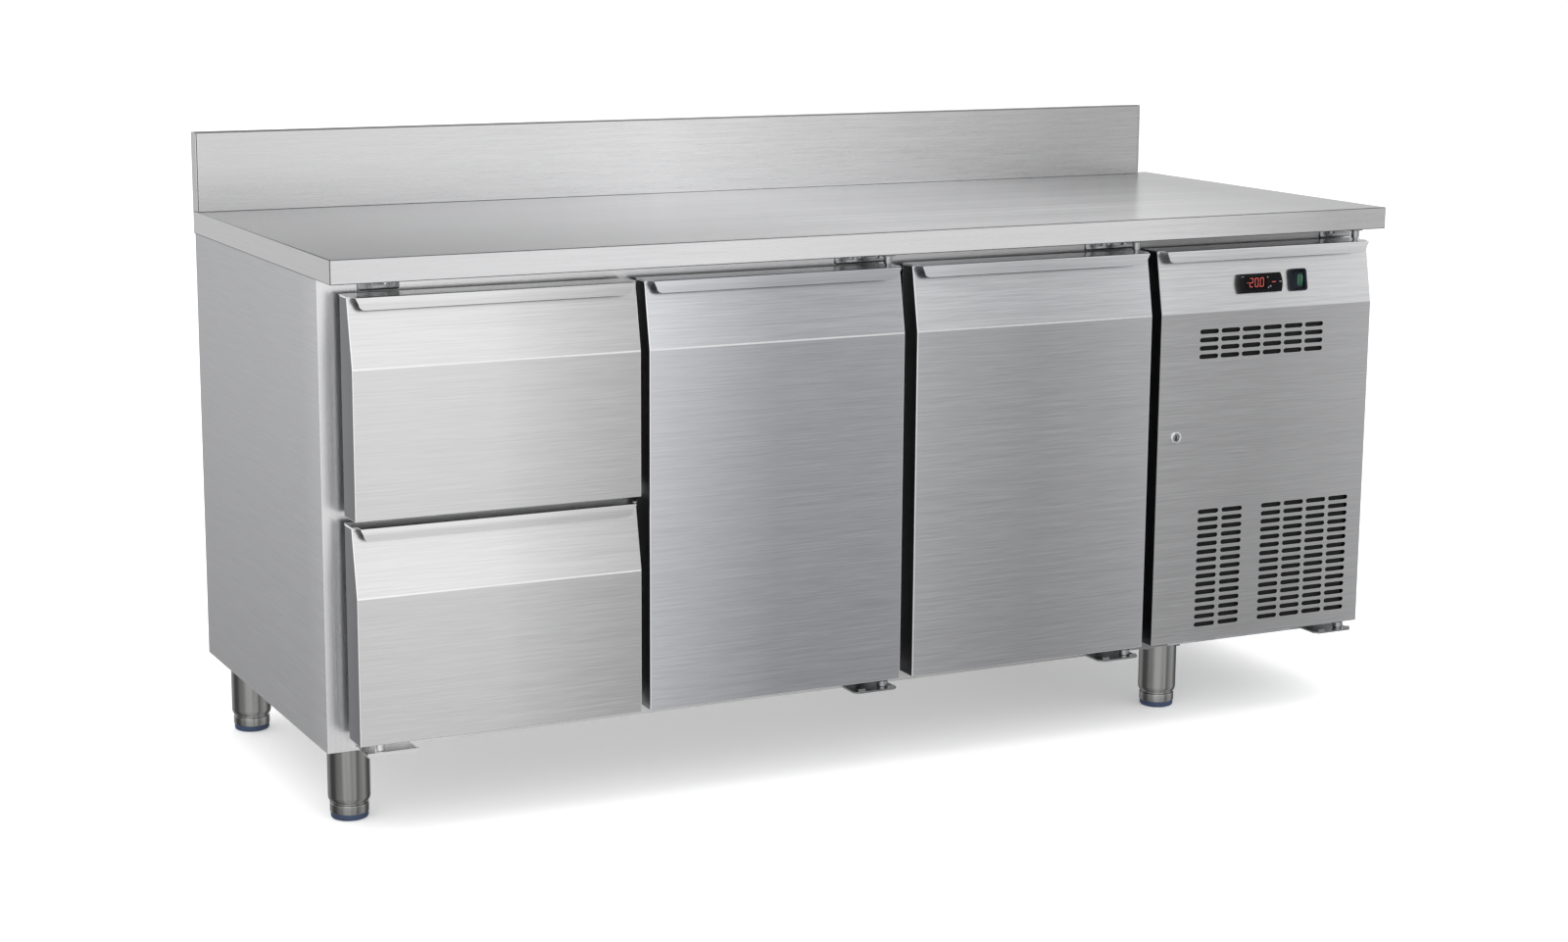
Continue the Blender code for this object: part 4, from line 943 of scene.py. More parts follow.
def switch():
    """The rocker switch: a moulded splash-proof frame and a rocker with a green lens."""
    place = on_recess(*SWITCH)
    width, height, out = 0.0330, 0.0362, 0.0059
    bm = bmesh.new()
    outer = [
        (rounded_rect(width, height, 0.0050), 0.0003),
        (rounded_rect(width, height, 0.0050), out - 0.0010),
        (rounded_rect(width - 0.0008, height - 0.0008, 0.0047), out - 0.0002),
        (rounded_rect(width - 0.0020, height - 0.0020, 0.0042), out),
        (rounded_rect(0.0236, 0.0310, 0.0034), out),
        (rounded_rect(0.0226, 0.0300, 0.0030), out - 0.0008),
        (rounded_rect(0.0216, 0.0290, 0.0030), -0.0100),
    ]
    add_loft(bm, outer)
    body = rounded_rect(0.0260, 0.0300, 0.0015)
    add_loft(bm, [(body, -0.0220), (body, -0.0098)])
    transformed(bm, 0, place)
    finish_piece(
        "switch_frame", bm, "bezel", "service_panel", ["switch_bezel"], 0, 40
    )
    bm = bmesh.new()
    outline = [(-0.0132, -0.0035)]
    for i in range(13):
        t = -1 + i / 6
        outline.append((t * 0.0132, 0.0047 - 0.0020 * math.cos(t * math.pi / 2)))
    outline.append((0.0132, -0.0035))
    add_prism(bm, outline, -0.0098, 0.0098)
    lens = rounded_rect(0.0118, 0.0205, 0.0050, 6, (0.0040, -0.0004))
    tip = [(0.0040 + (x - 0.0040) * 0.84, y * 0.88) for x, y in lens]
    add_loft(bm, [(lens, 0.0015), (lens, 0.0036), (tip, 0.0042)], 1)
    transformed(bm, 0, place @ Matrix.Rotation(math.radians(7), 4, "X"))
    finish_piece(
        "switch_rocker_lit", bm, ["bezel", "green_lit"], "rocker", ["switch_rocker"],
        0.0005, 35, 2,
    )


def facing(point, axis="-Y"):
    """A matrix at a point whose Z axis looks along the given axis."""
    turns = {
        "-Y": Matrix.Rotation(math.radians(90), 4, "X"),
        "Y": Matrix.Rotation(math.radians(-90), 4, "X"),
        "X": Matrix.Rotation(math.radians(90), 4, "Y"),
        "Z": Matrix.Identity(4),
        "-Z": Matrix.Rotation(math.radians(180), 4, "X"),
    }
    return Matrix.Translation(point) @ turns[axis]


def lock():
    """The cam lock: chamfered collar, barrel with a keyway, nut and cam."""
    x, _, z = centre_of(*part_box("lock_housing"))
    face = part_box("condenser_panel")[0][1]
    place = facing((x, face, z))
    bm = bmesh.new()
    profile = [
        (0.0062, 0.0012), (0.0064, 0.0024), (0.0070, 0.0028), (0.0086, 0.0028),
        (0.0096, 0.0022), (0.0100, 0.0012), (0.0100, 0.0003), (0.0080, 0.0003),
        (0.0080, -0.0175), (0.0062, -0.0175), (0.0062, 0.0012),
    ]
    add_turned(bm, profile, place, 40)
    nut = [(ring_points(0.0120, 6), -0.0050), (ring_points(0.0120, 6), -0.0015)]
    start = len(bm.verts)
    add_loft(bm, nut)
    transformed(bm, start, place)
    finish_piece(
        "lock_collar", bm, "bright", "service_panel", ["lock_housing"], 0, 35
    )
    bm = bmesh.new()
    barrel = [
        (0, 0.0016), (0.0046, 0.0018), (0.0056, 0.0014), (0.0058, 0.0008), (0.0058, -0.0240),
        (0, -0.0240),
    ]
    add_turned(bm, barrel, place, 32)
    start = len(bm.verts)
    cam = rounded_rect(0.0118, 0.0335, 0.0055, 6, (0, -0.0110))
    add_loft(bm, [(cam, -0.0222), (cam, -0.0202)])
    # The keyway: a raised key shape in the near-black look, painted shade for the slot.
    key = rounded_rect(0.0026, 0.0084, 0.0012, 4)
    add_loft(bm, [(key, 0.0006), (key, 0.0020)], 1)
    transformed(bm, start, place)
    finish_piece(
        "lock_barrel_and_cam", bm, ["plated", "dark"], "lock", ["lock_barrel"], 0, 35
    )


# --- hinges ---------------------------------------------------------------------------


def add_screw(bm, point, radius, hexagon=True):
    """A screw on a front face: washer, hexagon or domed head, and a raised cross in the near-black
    look, painted shade for the driver's recess.
    """
    place = facing(point)
    rim = radius * 1.55
    washer = [(0, 0.0012), (radius * 1.45, 0.0012), (rim, 0.0007), (rim, 0), (0, 0)]
    add_turned(bm, washer, place, 28)
    start = len(bm.verts)
    if hexagon:
        loop = ring_points(radius, 6, 12)
        near = [(x * 0.90, y * 0.90) for x, y in loop]
        add_loft(bm, [(loop, 0.0010), (loop, 0.0034), (near, 0.0042)])
    else:
        dome = [
            (0, 0.0036), (radius * 0.6, 0.0033), (radius * 0.95, 0.0022), (radius, 0.0010),
            (0, 0.0010),
        ]
        add_turned(bm, dome, Matrix.Identity(4), 28)
    top = 0.0043 if hexagon else 0.0037
    for wide, tall in ((radius * 1.15, 0.0009), (0.0009, radius * 1.15)):
        bar = rounded_rect(wide, tall, 0.0003, 3)
        add_loft(bm, [(bar, top - 0.0012), (bar, top)], 1)
    transformed(bm, start, place)


def add_top_plate(bm, node, screws, holes):
    """The pressed plate over a front: slotted and screwed to the top rail."""
    low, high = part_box(node)
    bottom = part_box("condenser_panel")[1][2] + PLATE_LIFT
    thick = 0.003
    face = high[1] - thick
    x = (low[0] + high[0]) / 2
    z = (bottom + high[2]) / 2
    loops = [rounded_rect(high[0] - low[0], high[2] - bottom, 0.0025, 4, (x, z))]
    for offset, length in holes:
        loops.append(rounded_slot(low[0] + offset, z, length, 0.0052, 7))
    mesh = plate_curve(node, loops, thick, 0.0005)
    add_mesh(bm, mesh, Matrix.Translation((0, face + thick / 2, 0)) @ STAND_UP)
    for offset in screws:
        add_screw(bm, (low[0] + offset, face, z), 0.0046, offset == screws[0])


def hinge_pair(name, front_node, screws, holes):
    """Both brackets of one hinged front, with their pins."""
    pin_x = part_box(front_node)[1][0] - PIN_INSET
    top_hinge(f"{name}_top_hinge", pin_x, screws, holes)
    bottom_hinge(f"{name}_bottom_hinge", pin_x)


def top_hinge(node, pin_x, screws, holes):
    """The plate over a front, the tongue that reaches forward from it, and its pin."""
    low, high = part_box(node)
    bm = bmesh.new()
    add_top_plate(bm, node, screws, holes)
    top = high[2]
    tongue = [
        (pin_x - 0.013, high[1] - 0.001), (pin_x - 0.013, PIN_Y + 0.004),
        (pin_x - 0.009, PIN_Y - 0.008), (pin_x + 0.009, PIN_Y - 0.008),
        (pin_x + 0.012, PIN_Y + 0.004), (pin_x + 0.012, high[1] - 0.001),
    ]
    tongue = [(min(x, high[0]), y) for x, y in tongue]
    add_prism(bm, tongue, top - 0.003, top - 0.0002, "Z")
    pin = [
        (0, top - 0.0012), (0.0062, top - 0.0016), (0.0066, top - 0.0060), (0.0062, top - 0.0150),
        (0.0040, top - 0.0156), (0.0040, low[2] + 0.001), (0.0032, low[2]), (0, low[2]),
    ]
    add_turned(bm, pin, Matrix.Translation((pin_x, PIN_Y, 0)), 28)
    finish_piece(
        f"{node}_bracket", bm, ["plated", "dark"], "cabinet", [node], 0.0004, 40, 2
    )


def bottom_hinge(node, pin_x):
    """The angle under a front: shelf with raised end tabs, leaf on the rail, bush and pin."""
    low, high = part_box(node)
    bm = bmesh.new()
    bottom, front, back = low[2], low[1], high[1]
    top = 0.135
    cut = 0.006
    add_block(bm, (low[0], back - 0.003, bottom), (high[0], back, top))
    outline = [
        (low[0], back - 0.001), (low[0], front + cut), (low[0] + cut, front),
        (high[0] - cut, front), (high[0], front + cut), (high[0], back - 0.001),
    ]
    add_prism(bm, outline, bottom, bottom + 0.0028, "Z")
    for start, end in ((low[0] + cut, low[0] + 0.018), (high[0] - 0.018, high[0] - cut)):
        add_block(bm, (start, front, bottom + 0.0020), (end, front + 0.002, bottom + 0.0075))
    bush = [
        (0, top), (0.0062, top), (0.0068, top - 0.0006), (0.0068, top - 0.0050),
        (0.0088, top - 0.0056), (0.0088, bottom + 0.0060), (0.0074, bottom + 0.0050),
        (0.0074, bottom + 0.0020), (0, bottom + 0.0020),
    ]
    shaft = [
        (0, high[2]), (0.0030, high[2]), (0.0040, high[2] - 0.0012), (0.0040, top - 0.001),
        (0, top - 0.001),
    ]
    head = [
        (0, bottom - 0.0026), (0.0042, bottom - 0.0024), (0.0056, bottom - 0.0008),
        (0.0056, bottom + 0.0004), (0, bottom + 0.0004),
    ]
    place = Matrix.Translation((pin_x, PIN_Y, 0))
    for profile, steps in ((bush, 28), (shaft, 20), (head, 24)):
        add_turned(bm, profile, place, steps)
    finish_piece(
        f"{node}_bracket", bm, "plated", "cabinet", [node], 0.0005, 40, 2
    )


PIN_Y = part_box("centre_door_bottom_hinge")[0][1] + 0.012

# --- cabinet --------------------------------------------------------------------------


def upstand():
    """The rear upstand: a folded box section with rolled top edges and a cap at either end."""
    low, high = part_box("backsplash")
    bm = bmesh.new()
    roll = 0.0026
    section = []
    for middle_y, start in ((high[1] - roll, 0), (low[1] + roll, 90)):
        for x, y in ring_points(roll, 6, start, 90):
            section.append((middle_y + x, high[2] - roll + y))
    section = [(high[1], low[2])] + section + [(low[1], low[2])]
    cap = 0.0022
    seam = 0.0007
    add_prism(bm, section, low[0] + cap + seam, high[0] - cap - seam)
    for start, end in ((low[0], low[0] + cap), (high[0] - cap, high[0])):
        add_prism(bm, section, start, end)
    obj = finish_piece(
        "upstand_sheet", bm, ["splash", "fold_dark"], "cabinet",
        ["backsplash"], 0.0007, 40,
    )
    # The rolled top edges get the dark fold look: a painted dark line of shade.
    by_direction(obj, 2, 1, 0.2, 0.98)


def by_direction(obj, axis, index, low=0.5, high=2.0):
    """Gives the faces that look along an axis, either way, another of the object's materials: every
    caller gives them a lighter or darker copy of the sheet's steel, as painted light and shade.
    """
    for polygon in obj.data.polygons:
        if low < abs(polygon.normal[axis]) < high:
            polygon.material_index = index


def top_sheet():
    """The worktop: a folded tray with crisp, slightly rounded edges and a seat for the upstand."""
    low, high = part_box("worktop")
    seat_low, seat_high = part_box("backsplash")
    gap = 0.0003
    step = seat_low[2] - gap
    seat = seat_low[1] - gap
    split = seat_high[0] + gap
    bm = bmesh.new()
    outline = [
        (high[1], low[2]), (low[1], low[2]), (low[1], high[2]), (seat, high[2]), (seat, step),
        (high[1], step),
    ]
    add_prism(bm, outline, low[0], split)
    outline = [(high[1], low[2]), (low[1], low[2]), (low[1], high[2]), (high[1], high[2])]
    add_prism(bm, outline, split, high[0])
    bmesh.ops.remove_doubles(bm, verts=bm.verts, dist=0.00001)
    inner = [face for face in bm.faces if abs(face.calc_center_median().x - split) < 0.0001]
    bmesh.ops.delete(bm, geom=inner, context="FACES_ONLY")
    corners = []
    for y, z in ((seat, high[2]), (high[1], high[2]), (high[1], step), (seat, step)):
        corner = Vector((split, y, z))
        corners.append(min(bm.verts, key=lambda vert: (vert.co - corner).length))
    bm.faces.new(corners)
    # The worktop's rounded folds get the dark fold look: a painted dark line of shade.
    obj = finish_piece(
        "worktop_sheet", bm, ["worktop", "edge", "edge_side"], "cabinet",
        ["worktop"], 0.0012, 40, fold="fold_dark",
    )
    # The front and side faces get the lighter edge steels: painted light.
    by_direction(obj, 1, 1)
    by_direction(obj, 0, 2)
    bevel = obj.modifiers["Round"]
    bevel.limit_method = "WEIGHT"
    bevel.use_clamp_overlap = False
    weight = obj.data.attributes.new("bevel_weight_edge", "FLOAT", "EDGE")
    for edge in obj.data.edges:
        one, two = (obj.data.vertices[i].co for i in edge.vertices)
        outer = (one - two).length > 0.01 and any(
            abs(one[axis] - place) + abs(two[axis] - place) < 0.0001
            for axis, place in ((0, low[0]), (0, high[0]), (1, low[1]))
        )
        inner = abs(one.x - split) + abs(two.x - split) < 0.0001
        weight.data[edge.index].value = 1.0 if outer and not inner else 0.0
        edge.use_edge_sharp = not outer


def side_sheet(node):
    """An outer side sheet, folded round at its front into a stile."""
    low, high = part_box(node)
    left = low[0] < 0
    outer = low[0] if left else high[0]
    inward = 1 if left else -1
    sheet = 0.0015
    reach = high[0] - low[0]
    front, back = low[1], high[1]
    outline = [
        (outer, front), (outer, back), (outer + inward * sheet, back),
        (outer + inward * sheet, front + sheet), (outer + inward * reach, front + sheet),
        (outer + inward * reach, front),
    ]
    bm = bmesh.new()
    add_prism(bm, outline, low[2], high[2], "Z")
    obj = finish_piece(
        f"{node}_sheet", bm, ["side", "stile"], "cabinet", [node], 0.0007, 40
    )
    # The stile faces get the lighter stile steel: a painted highlight.
    by_direction(obj, 1, 1)


def leg(name):
    """A tubular leg, its adjustable foot and the blue pad it stands on."""
    low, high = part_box(f"{name}_leg")
    x, y, _ = centre_of(low, high)
    place = Matrix.Translation((x, y, 0))
    radius = (high[0] - low[0]) / 2
    bottom = low[2]
    bm = bmesh.new()
    profile = [
        (0, high[2]), (radius, high[2]), (radius, bottom + 0.0075),
        (radius - 0.0003, bottom + 0.0050), (radius - 0.0012, bottom + 0.0022),
        (radius - 0.0022, bottom + 0.0004), (radius - 0.0030, bottom),
        (radius - 0.0034, bottom + 0.0010), (radius - 0.0034, high[2] - 0.006),
        (0, high[2] - 0.006),
    ]
    add_turned(bm, profile, place, 72)
    finish_piece(f"{name}_leg_tube", bm, "tube", "cabinet", [f"{name}_leg"], 0, 40)
    foot_low, foot_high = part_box(f"{name}_foot")
    r = (foot_high[0] - foot_low[0]) / 2
    pad = 0.0096
    bm = bmesh.new()
    profile = [
        (0, foot_high[2]), (r - 0.0008, foot_high[2]), (r - 0.0004, bottom),
        (r - 0.0018, bottom - 0.0006), (r - 0.0018, bottom - 0.0026),
        (r - 0.0004, bottom - 0.0034), (r, bottom - 0.0044), (r, 0.0106), (r - 0.0006, pad),
        (0, pad),
    ]
    add_turned(bm, profile, place, 72)
    finish_piece(
        f"{name}_foot_collar", bm, "tube", f"{name}_foot_screw",
        [f"{name}_foot"], 0, 40,
    )
    bm = bmesh.new()
    profile = [
        (0, pad), (r - 0.0014, pad), (r - 0.0010, 0.0080), (r - 0.0010, 0.0030),
        (r - 0.0022, 0.0010), (r - 0.0045, 0.0), (0, 0.0),
    ]
    add_turned(bm, profile, place, 72)
    finish_piece(f"{name}_foot_pad", bm, "pad", f"{name}_foot_screw", (), 0, 40)


def wire_shelf(name):
    """A welded wire shelf: frame wire with rounded corners, two bearers and long wires."""
    low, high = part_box(name)
    wire = 0.0025
    x, y, z = centre_of(low, high)
    bm = bmesh.new()
    loop = rounded_rect(high[0] - low[0] - 2 * wire, high[1] - low[1] - 2 * wire, 0.012, 6, (x, y))
    path = [(x, y, z) for x, y in loop]
    add_tube(bm, path + [path[0]], wire, 12)
    count = 19
    for i in range(1, count):
        x = low[0] + (high[0] - low[0]) * i / count
        add_tube(bm, [(x, low[1] + wire, z + 0.0008), (x, high[1] - wire, z + 0.0008)], 0.0016, 8)
    for i in range(1, 3):
        y = low[1] + (high[1] - low[1]) * i / 3
        add_tube(bm, [(low[0] + wire, y, z - 0.0004), (high[0] - wire, y, z - 0.0004)], 0.0021, 10)
    finish_piece(f"{name}_wires", bm, "bright", "cabinet", [name], 0, 40)


def coil():
    """The condenser's finned block: fin pack, end plates and copper return bends."""
    low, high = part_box("condenser_coil")
    bm = bmesh.new()
    fins, bends = 60, 8
    near = low[0] + 0.012
    for i in range(fins):
        x = near + (high[0] - low[0] - 0.024) * i / (fins - 1)
        add_block(bm, (x - 0.0006, low[1], low[2] + 0.002), (x + 0.0006, high[1], high[2] - 0.002))
    for x in (low[0] + 0.010, high[0] - 0.010):
        add_block(bm, (x - 0.0012, low[1], low[2]), (x + 0.0012, high[1], high[2]), 1)
    y = (low[1] + high[1]) / 2
    for i in range(bends):
        z = low[2] + (high[2] - low[2]) * (i + 0.5) / bends
        out = low[0] + 0.002
        bend = [(near, y - 0.010, z), (out, y - 0.010, z), (out, y + 0.010, z), (near, y + 0.010, z)]
        add_tube(bm, smooth_path(bend, 0.009, 5), 0.0042, 10, 2)
    finish_piece(
        "condenser_fin_pack", bm, ["fins", "galvanised", "copper"], "cabinet",
        ["condenser_coil"], 0, 30,
    )


def add_fan(bm, centre, radius, hub, thick, axis):
    """A fan wheel with five cambered, swept blades."""
    place = facing(centre, axis)
    half = thick / 2
    profile = [
        (0, half), (hub * 0.7, half), (hub, half * 0.5), (hub, -half), (hub * 0.86, -half),
        (0, -half),
    ]
    add_turned(bm, profile, Matrix.Identity(4), 32)
    blades, rows, columns = 5, 7, 6
    for k in range(blades):
        base = 2 * math.pi * k / blades
        grid = []
        for i in range(rows):
            r = hub * 0.96 + (radius * 0.985 - hub * 0.96) * i / (rows - 1)
            spread = 0.62 - 0.14 * i / (rows - 1)
            sweep = 0.30 * (i / (rows - 1)) ** 2
            line = []
            for j in range(columns):
                t = -0.5 + j / (columns - 1)
                angle = base + sweep + t * spread
                lift = -t * thick * 0.92 + 0.12 * thick * math.cos(math.pi * t)
                line.append((r * math.cos(angle), r * math.sin(angle), lift * (1 - 0.15 * i / rows)))
            grid.append(line)
        top = [[bm.verts.new((x, y, z + 0.0007)) for x, y, z in line] for line in grid]
        low = [[bm.verts.new((x, y, z - 0.0007)) for x, y, z in line] for line in grid]
        for i in range(rows - 1):
            for j in range(columns - 1):
                bm.faces.new((top[i][j], top[i][j + 1], top[i + 1][j + 1], top[i + 1][j]))
                bm.faces.new((low[i][j], low[i + 1][j], low[i + 1][j + 1], low[i][j + 1]))
        for j in range(columns - 1):
            bm.faces.new((top[0][j], low[0][j], low[0][j + 1], top[0][j + 1]))
            bm.faces.new((top[-1][j], top[-1][j + 1], low[-1][j + 1], low[-1][j]))
        for i in range(rows - 1):
            bm.faces.new((top[i][0], top[i + 1][0], low[i + 1][0], low[i][0]))
            bm.faces.new((top[i][-1], low[i][-1], low[i + 1][-1], top[i + 1][-1]))
    transformed(bm, 0, place)


def fan_wheels():
    """Both fans' wheels, on their joints' axes."""
    wheels = (
        ("condenser_fan", "condenser_fan_wheel_blades", 0.107, 0.030, 0.015, "-Y"),
        ("evaporator_fan", "evaporator_fan_blades", 0.077, 0.024, 0.014, "X"),
    )
    for node, piece, radius, hub, thick, axis in wheels:
        bm = bmesh.new()
        add_fan(bm, joint_pos(f"{node}_spin"), radius, hub, thick, axis)
        finish_piece(piece, bm, "enamel", f"{node}_wheel", [node], 0, 35)


def joint_pos(name):
    """A point on a joint's axis, from the frame's record."""
    for joint in frame["record"]["behaviour"]["joints"]:
        if joint["name"] == name:
            return joint["pos_m"]
    raise ValueError(name)


def compressor_shell():
    """The compressor's welded shell, its foot plate on rubber mounts and its terminal box."""
    low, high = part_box("compressor")
    x, y, _ = centre_of(low, high)
    base = low[2]
    place = Matrix.Translation((x, y, base))
    radius = 0.095
    bm = bmesh.new()
    profile = []
    for i in range(11):
        angle = math.radians(90 - 9 * i)
        profile.append((radius * math.cos(angle), 0.185 + 0.054 * math.sin(angle)))
    profile[0] = (0, 0.239)
    profile += [
        (radius, 0.112), (radius + 0.0035, 0.109), (radius + 0.0035, 0.102), (radius, 0.099),
        (radius, 0.046),
    ]
    for i in range(1, 8):
        angle = math.radians(-90 * i / 7)
        profile.append((radius * (0.7 + 0.3 * math.cos(angle)), 0.046 + 0.030 * math.sin(angle)))
    profile.append((0, 0.016))
    add_turned(bm, profile, place, 64)
    start = len(bm.verts)
    plate = rounded_rect(0.220, 0.150, 0.012)
    add_loft(bm, [(plate, 0.0090), (plate, 0.0150)])
    for sx in (-1, 1):
        for sy in (-1, 1):
            mount = [
                (0.0045, 0.0180), (0.0100, 0.0175), (0.0105, 0.0130), (0.0085, 0.0110),
                (0.0085, 0.0060), (0.0105, 0.0040), (0.0105, 0.0), (0, 0), (0, 0.0180),
            ]
            add_turned(bm, mount, Matrix.Translation((sx * 0.096, sy * 0.062, 0)), 24, 1)
    transformed(bm, start, place)
    start = len(bm.verts)
    cover = rounded_rect(0.055, 0.070, 0.006)
    lid = [(u * 0.92, v * 0.92) for u, v in cover]
    add_loft(bm, [(cover, 0.0), (cover, 0.016), (lid, 0.018)], 2)
    transformed(bm, start, facing((x + 0.030, low[1] + 0.006, base + 0.145), "-Y"))
    finish_piece(
        "compressor_shell", bm, ["enamel", "rubber", "plastic"], "cabinet",
        ["compressor"], 0, 40,
    )


def pipes():
    """The copper pipes: discharge, suction and, through the drier, liquid."""
    low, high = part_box("compressor")
    x, y, _ = centre_of(low, high)
    base = low[2]
    coil_low, coil_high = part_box("condenser_coil")
    end_x = coil_low[0] + 0.012
    rear_y = coil_high[1] + 0.045
    coil_y = coil_high[1] - 0.020
    over = coil_high[2] + 0.020
    discharge = [
        (x - 0.060, y - 0.050, base + 0.205), (x - 0.060, y - 0.050, base + 0.262),
        (x - 0.105, y - 0.120, base + 0.262), (end_x, rear_y, base + 0.262),
        (end_x, rear_y, over), (end_x, coil_y, over), (end_x, coil_y, coil_high[2] - 0.010),
    ]
    suction = [
        (x + 0.030, y + 0.060, base + 0.215), (x + 0.030, y + 0.060, base + 0.300),
        (x - 0.070, y + 0.110, base + 0.330), (x - 0.136, y + 0.110, base + 0.330),
    ]
    liquid = [
        (end_x, rear_y, base + 0.132), (end_x, rear_y, base + 0.050), (end_x, coil_y, base + 0.050)
    ]
    drier = [
        (0, 0.060), (0.0040, 0.058), (0.0100, 0.048), (0.0110, 0.042), (0.0110, -0.042),
        (0.0100, -0.048), (0.0040, -0.058), (0, -0.060),
    ]
    bm = bmesh.new()
    add_tube(bm, smooth_path(discharge, 0.022, 8), 0.0032, 14)
    add_tube(bm, smooth_path(suction, 0.022, 8), 0.0048, 14)
    add_turned(bm, drier, Matrix.Translation((end_x, rear_y, base + 0.190)), 28)
    add_tube(bm, smooth_path(liquid, 0.018, 8), 0.0032, 12)
    finish_piece("refrigerant_pipes", bm, "copper", "cabinet", (), 0, 50)


def shroud():
    """The fan plate with a drawn ring, its motor and wire arms."""
    low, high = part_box("fan_shroud")
    centre = joint_pos("condenser_fan_spin")
    plate_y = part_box("condenser_coil")[1][1] + 0.0008
    bm = bmesh.new()
    field = rounded_rect(
        high[0] - low[0], high[2] - low[2], 0.003, 4, centre_of(low, high)[::2]
    )
    hole = [(centre[0] + u, centre[2] + v) for u, v in ring_points(0.1135, 64)]
    mesh = plate_curve("shroud", [field, hole], 0.0015)
    add_mesh(bm, mesh, Matrix.Translation((0, plate_y + 0.0008, 0)) @ STAND_UP)
    ring = [
        (0.1150, 0.0), (0.1150, -0.0160), (0.1180, -0.0175), (0.1180, -0.0190),
        (0.1135, -0.0165), (0.1135, 0.0), (0.1150, 0.0),
    ]
    add_turned(bm, ring, facing((centre[0], plate_y, centre[2])), 64)
    hub = Vector((centre[0], centre[1] + 0.0225, centre[2]))
    rim = Vector((centre[0], centre[1] + 0.0105, centre[2]))
    for i in range(4):
        angle = math.radians(45 + 90 * i)
        out = Vector((math.cos(angle), 0, math.sin(angle)))
        arm = [hub + out * 0.030, hub + out * 0.060, rim + out * 0.1160]
        add_tube(bm, smooth_path(arm, 0.012, 5), 0.0022, 10, 1)
    motor = [
        (0, -0.0128), (0.0200, -0.0128), (0.0330, -0.0150), (0.0340, -0.0180), (0.0340, -0.0480),
        (0.0300, -0.0640), (0.0120, -0.0675), (0, -0.0675),
    ]
    add_turned(bm, motor, facing(centre), 40, 1)
    finish_piece(
        "fan_plate_and_motor", bm, ["galvanised", "enamel"], "cabinet",
        ["fan_shroud"], 0, 35,
    )


def drawer_box(name, body):
    """A drawer box in sheet, with a rolled rim and the rails on its two sides."""
    low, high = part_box(f"{name}_box")
    rail = 0.004
    left, right = low[0] + rail, high[0] - rail
    sheet = 0.0014
    bm = bmesh.new()
    front, back = low[1], high[1]
    bottom, top = low[2], high[2]
    add_block(bm, (left, front, bottom), (right, back, bottom + sheet))
    walls = (
        ((left, front, bottom + sheet), (left + sheet, back, top)),
        ((right - sheet, front, bottom + sheet), (right, back, top)),
        ((left + sheet, front, bottom + sheet), (right - sheet, front + sheet, top)),
        ((left + sheet, back - sheet, bottom + sheet), (right - sheet, back, top)),
    )
    for near, far in walls:
        add_block(bm, near, far)
    centre = ((left + right) / 2, (front + back) / 2)
    loop = rounded_rect(right - left - 0.004, back - front - 0.004, 0.004, 4, centre)
    path = [(x, y, top - 0.002) for x, y in loop]
    add_tube(bm, path + [path[0]], 0.0019, 10)
    middle = (bottom + top) / 2
    for near, far in ((low[0], left + 0.0004), (right - 0.0004, high[0])):
        add_block(bm, (near, front + 0.004, middle - 0.011), (far, back - 0.002, middle + 0.011), 1)
    finish_piece(
        f"{name}_tub", bm, ["liner", "plated"], body, [f"{name}_box"], 0.0004, 40, 2
    )


def slide_rail(node, body):
    """A drawer's middle rail: a rolled C section."""
    low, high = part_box(node)
    wide = high[0] - low[0]
    tall = high[2] - low[2]
    sheet = 0.0012
    opens_left = (low[0] + high[0]) / 2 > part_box("upper_drawer_box")[0][0] + 0.1
    hook = 0.005
    outline = [
        (0, 0), (wide, 0), (wide, hook), (wide - sheet, hook), (wide - sheet, sheet),
        (sheet, sheet), (sheet, tall - sheet), (wide - sheet, tall - sheet),
        (wide - sheet, tall - hook), (wide, tall - hook), (wide, tall), (0, tall),
    ]
    section = [(high[0] - u if opens_left else low[0] + u, low[2] + v) for u, v in outline]
    bm = bmesh.new()
    add_prism(bm, section, low[1], high[1], "Y")
    finish_piece(f"{node}_channel", bm, "plated", body, [node], 0.0004, 40, 2)


def spare_bracket():
    """The drawer bay's unused hinge plate on the front of the frame."""
    thick = 0.003
    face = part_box("mullion_2")[0][1] - thick - 0.0003
    low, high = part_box("condenser_panel")[1][2] + PLATE_LIFT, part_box("centre_door_top_hinge")[1][2]
    left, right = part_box("left_side_panel")[1][0], -0.776
    x = (left + right) / 2
    z = (low + high) / 2
    outline = rounded_rect(right - left, high - low, 0.0025, 4, (x, z))
    hole = rounded_slot(x + 0.012, z, 0.010, 0.005, 7)
    mesh = plate_curve("spare", [outline, hole], thick, 0.0005)
    bm = bmesh.new()
    add_mesh(bm, mesh, Matrix.Translation((0, face + 0.0010, 0)) @ STAND_UP)
    for screw_x in (left + 0.015, right - 0.012):
        add_screw(bm, (screw_x, face - 0.0005, z), 0.0044)
    finish_piece(
        "spare_top_bracket", bm, ["plated", "dark"], "cabinet", (), 0.0004, 40, 2
    )


def tank_bolts():
    """Two hexagonal bolts under the compressor bay."""
    bolt = [
        (0, -0.0001), (0.0075, -0.0001), (0.0080, -0.0012), (0.0056, -0.0014),
        (0.0056, -0.0042), (0.0048, -0.0050), (0, -0.0050),
    ]
    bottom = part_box("compressor_base")[0][2]
    bm = bmesh.new()
    for x in (0.512, 0.572):
        add_turned(bm, bolt, Matrix.Translation((x, -0.268, bottom)), 6)
    finish_piece("tank_bolts", bm, "plated", "cabinet", (), 0, 30)


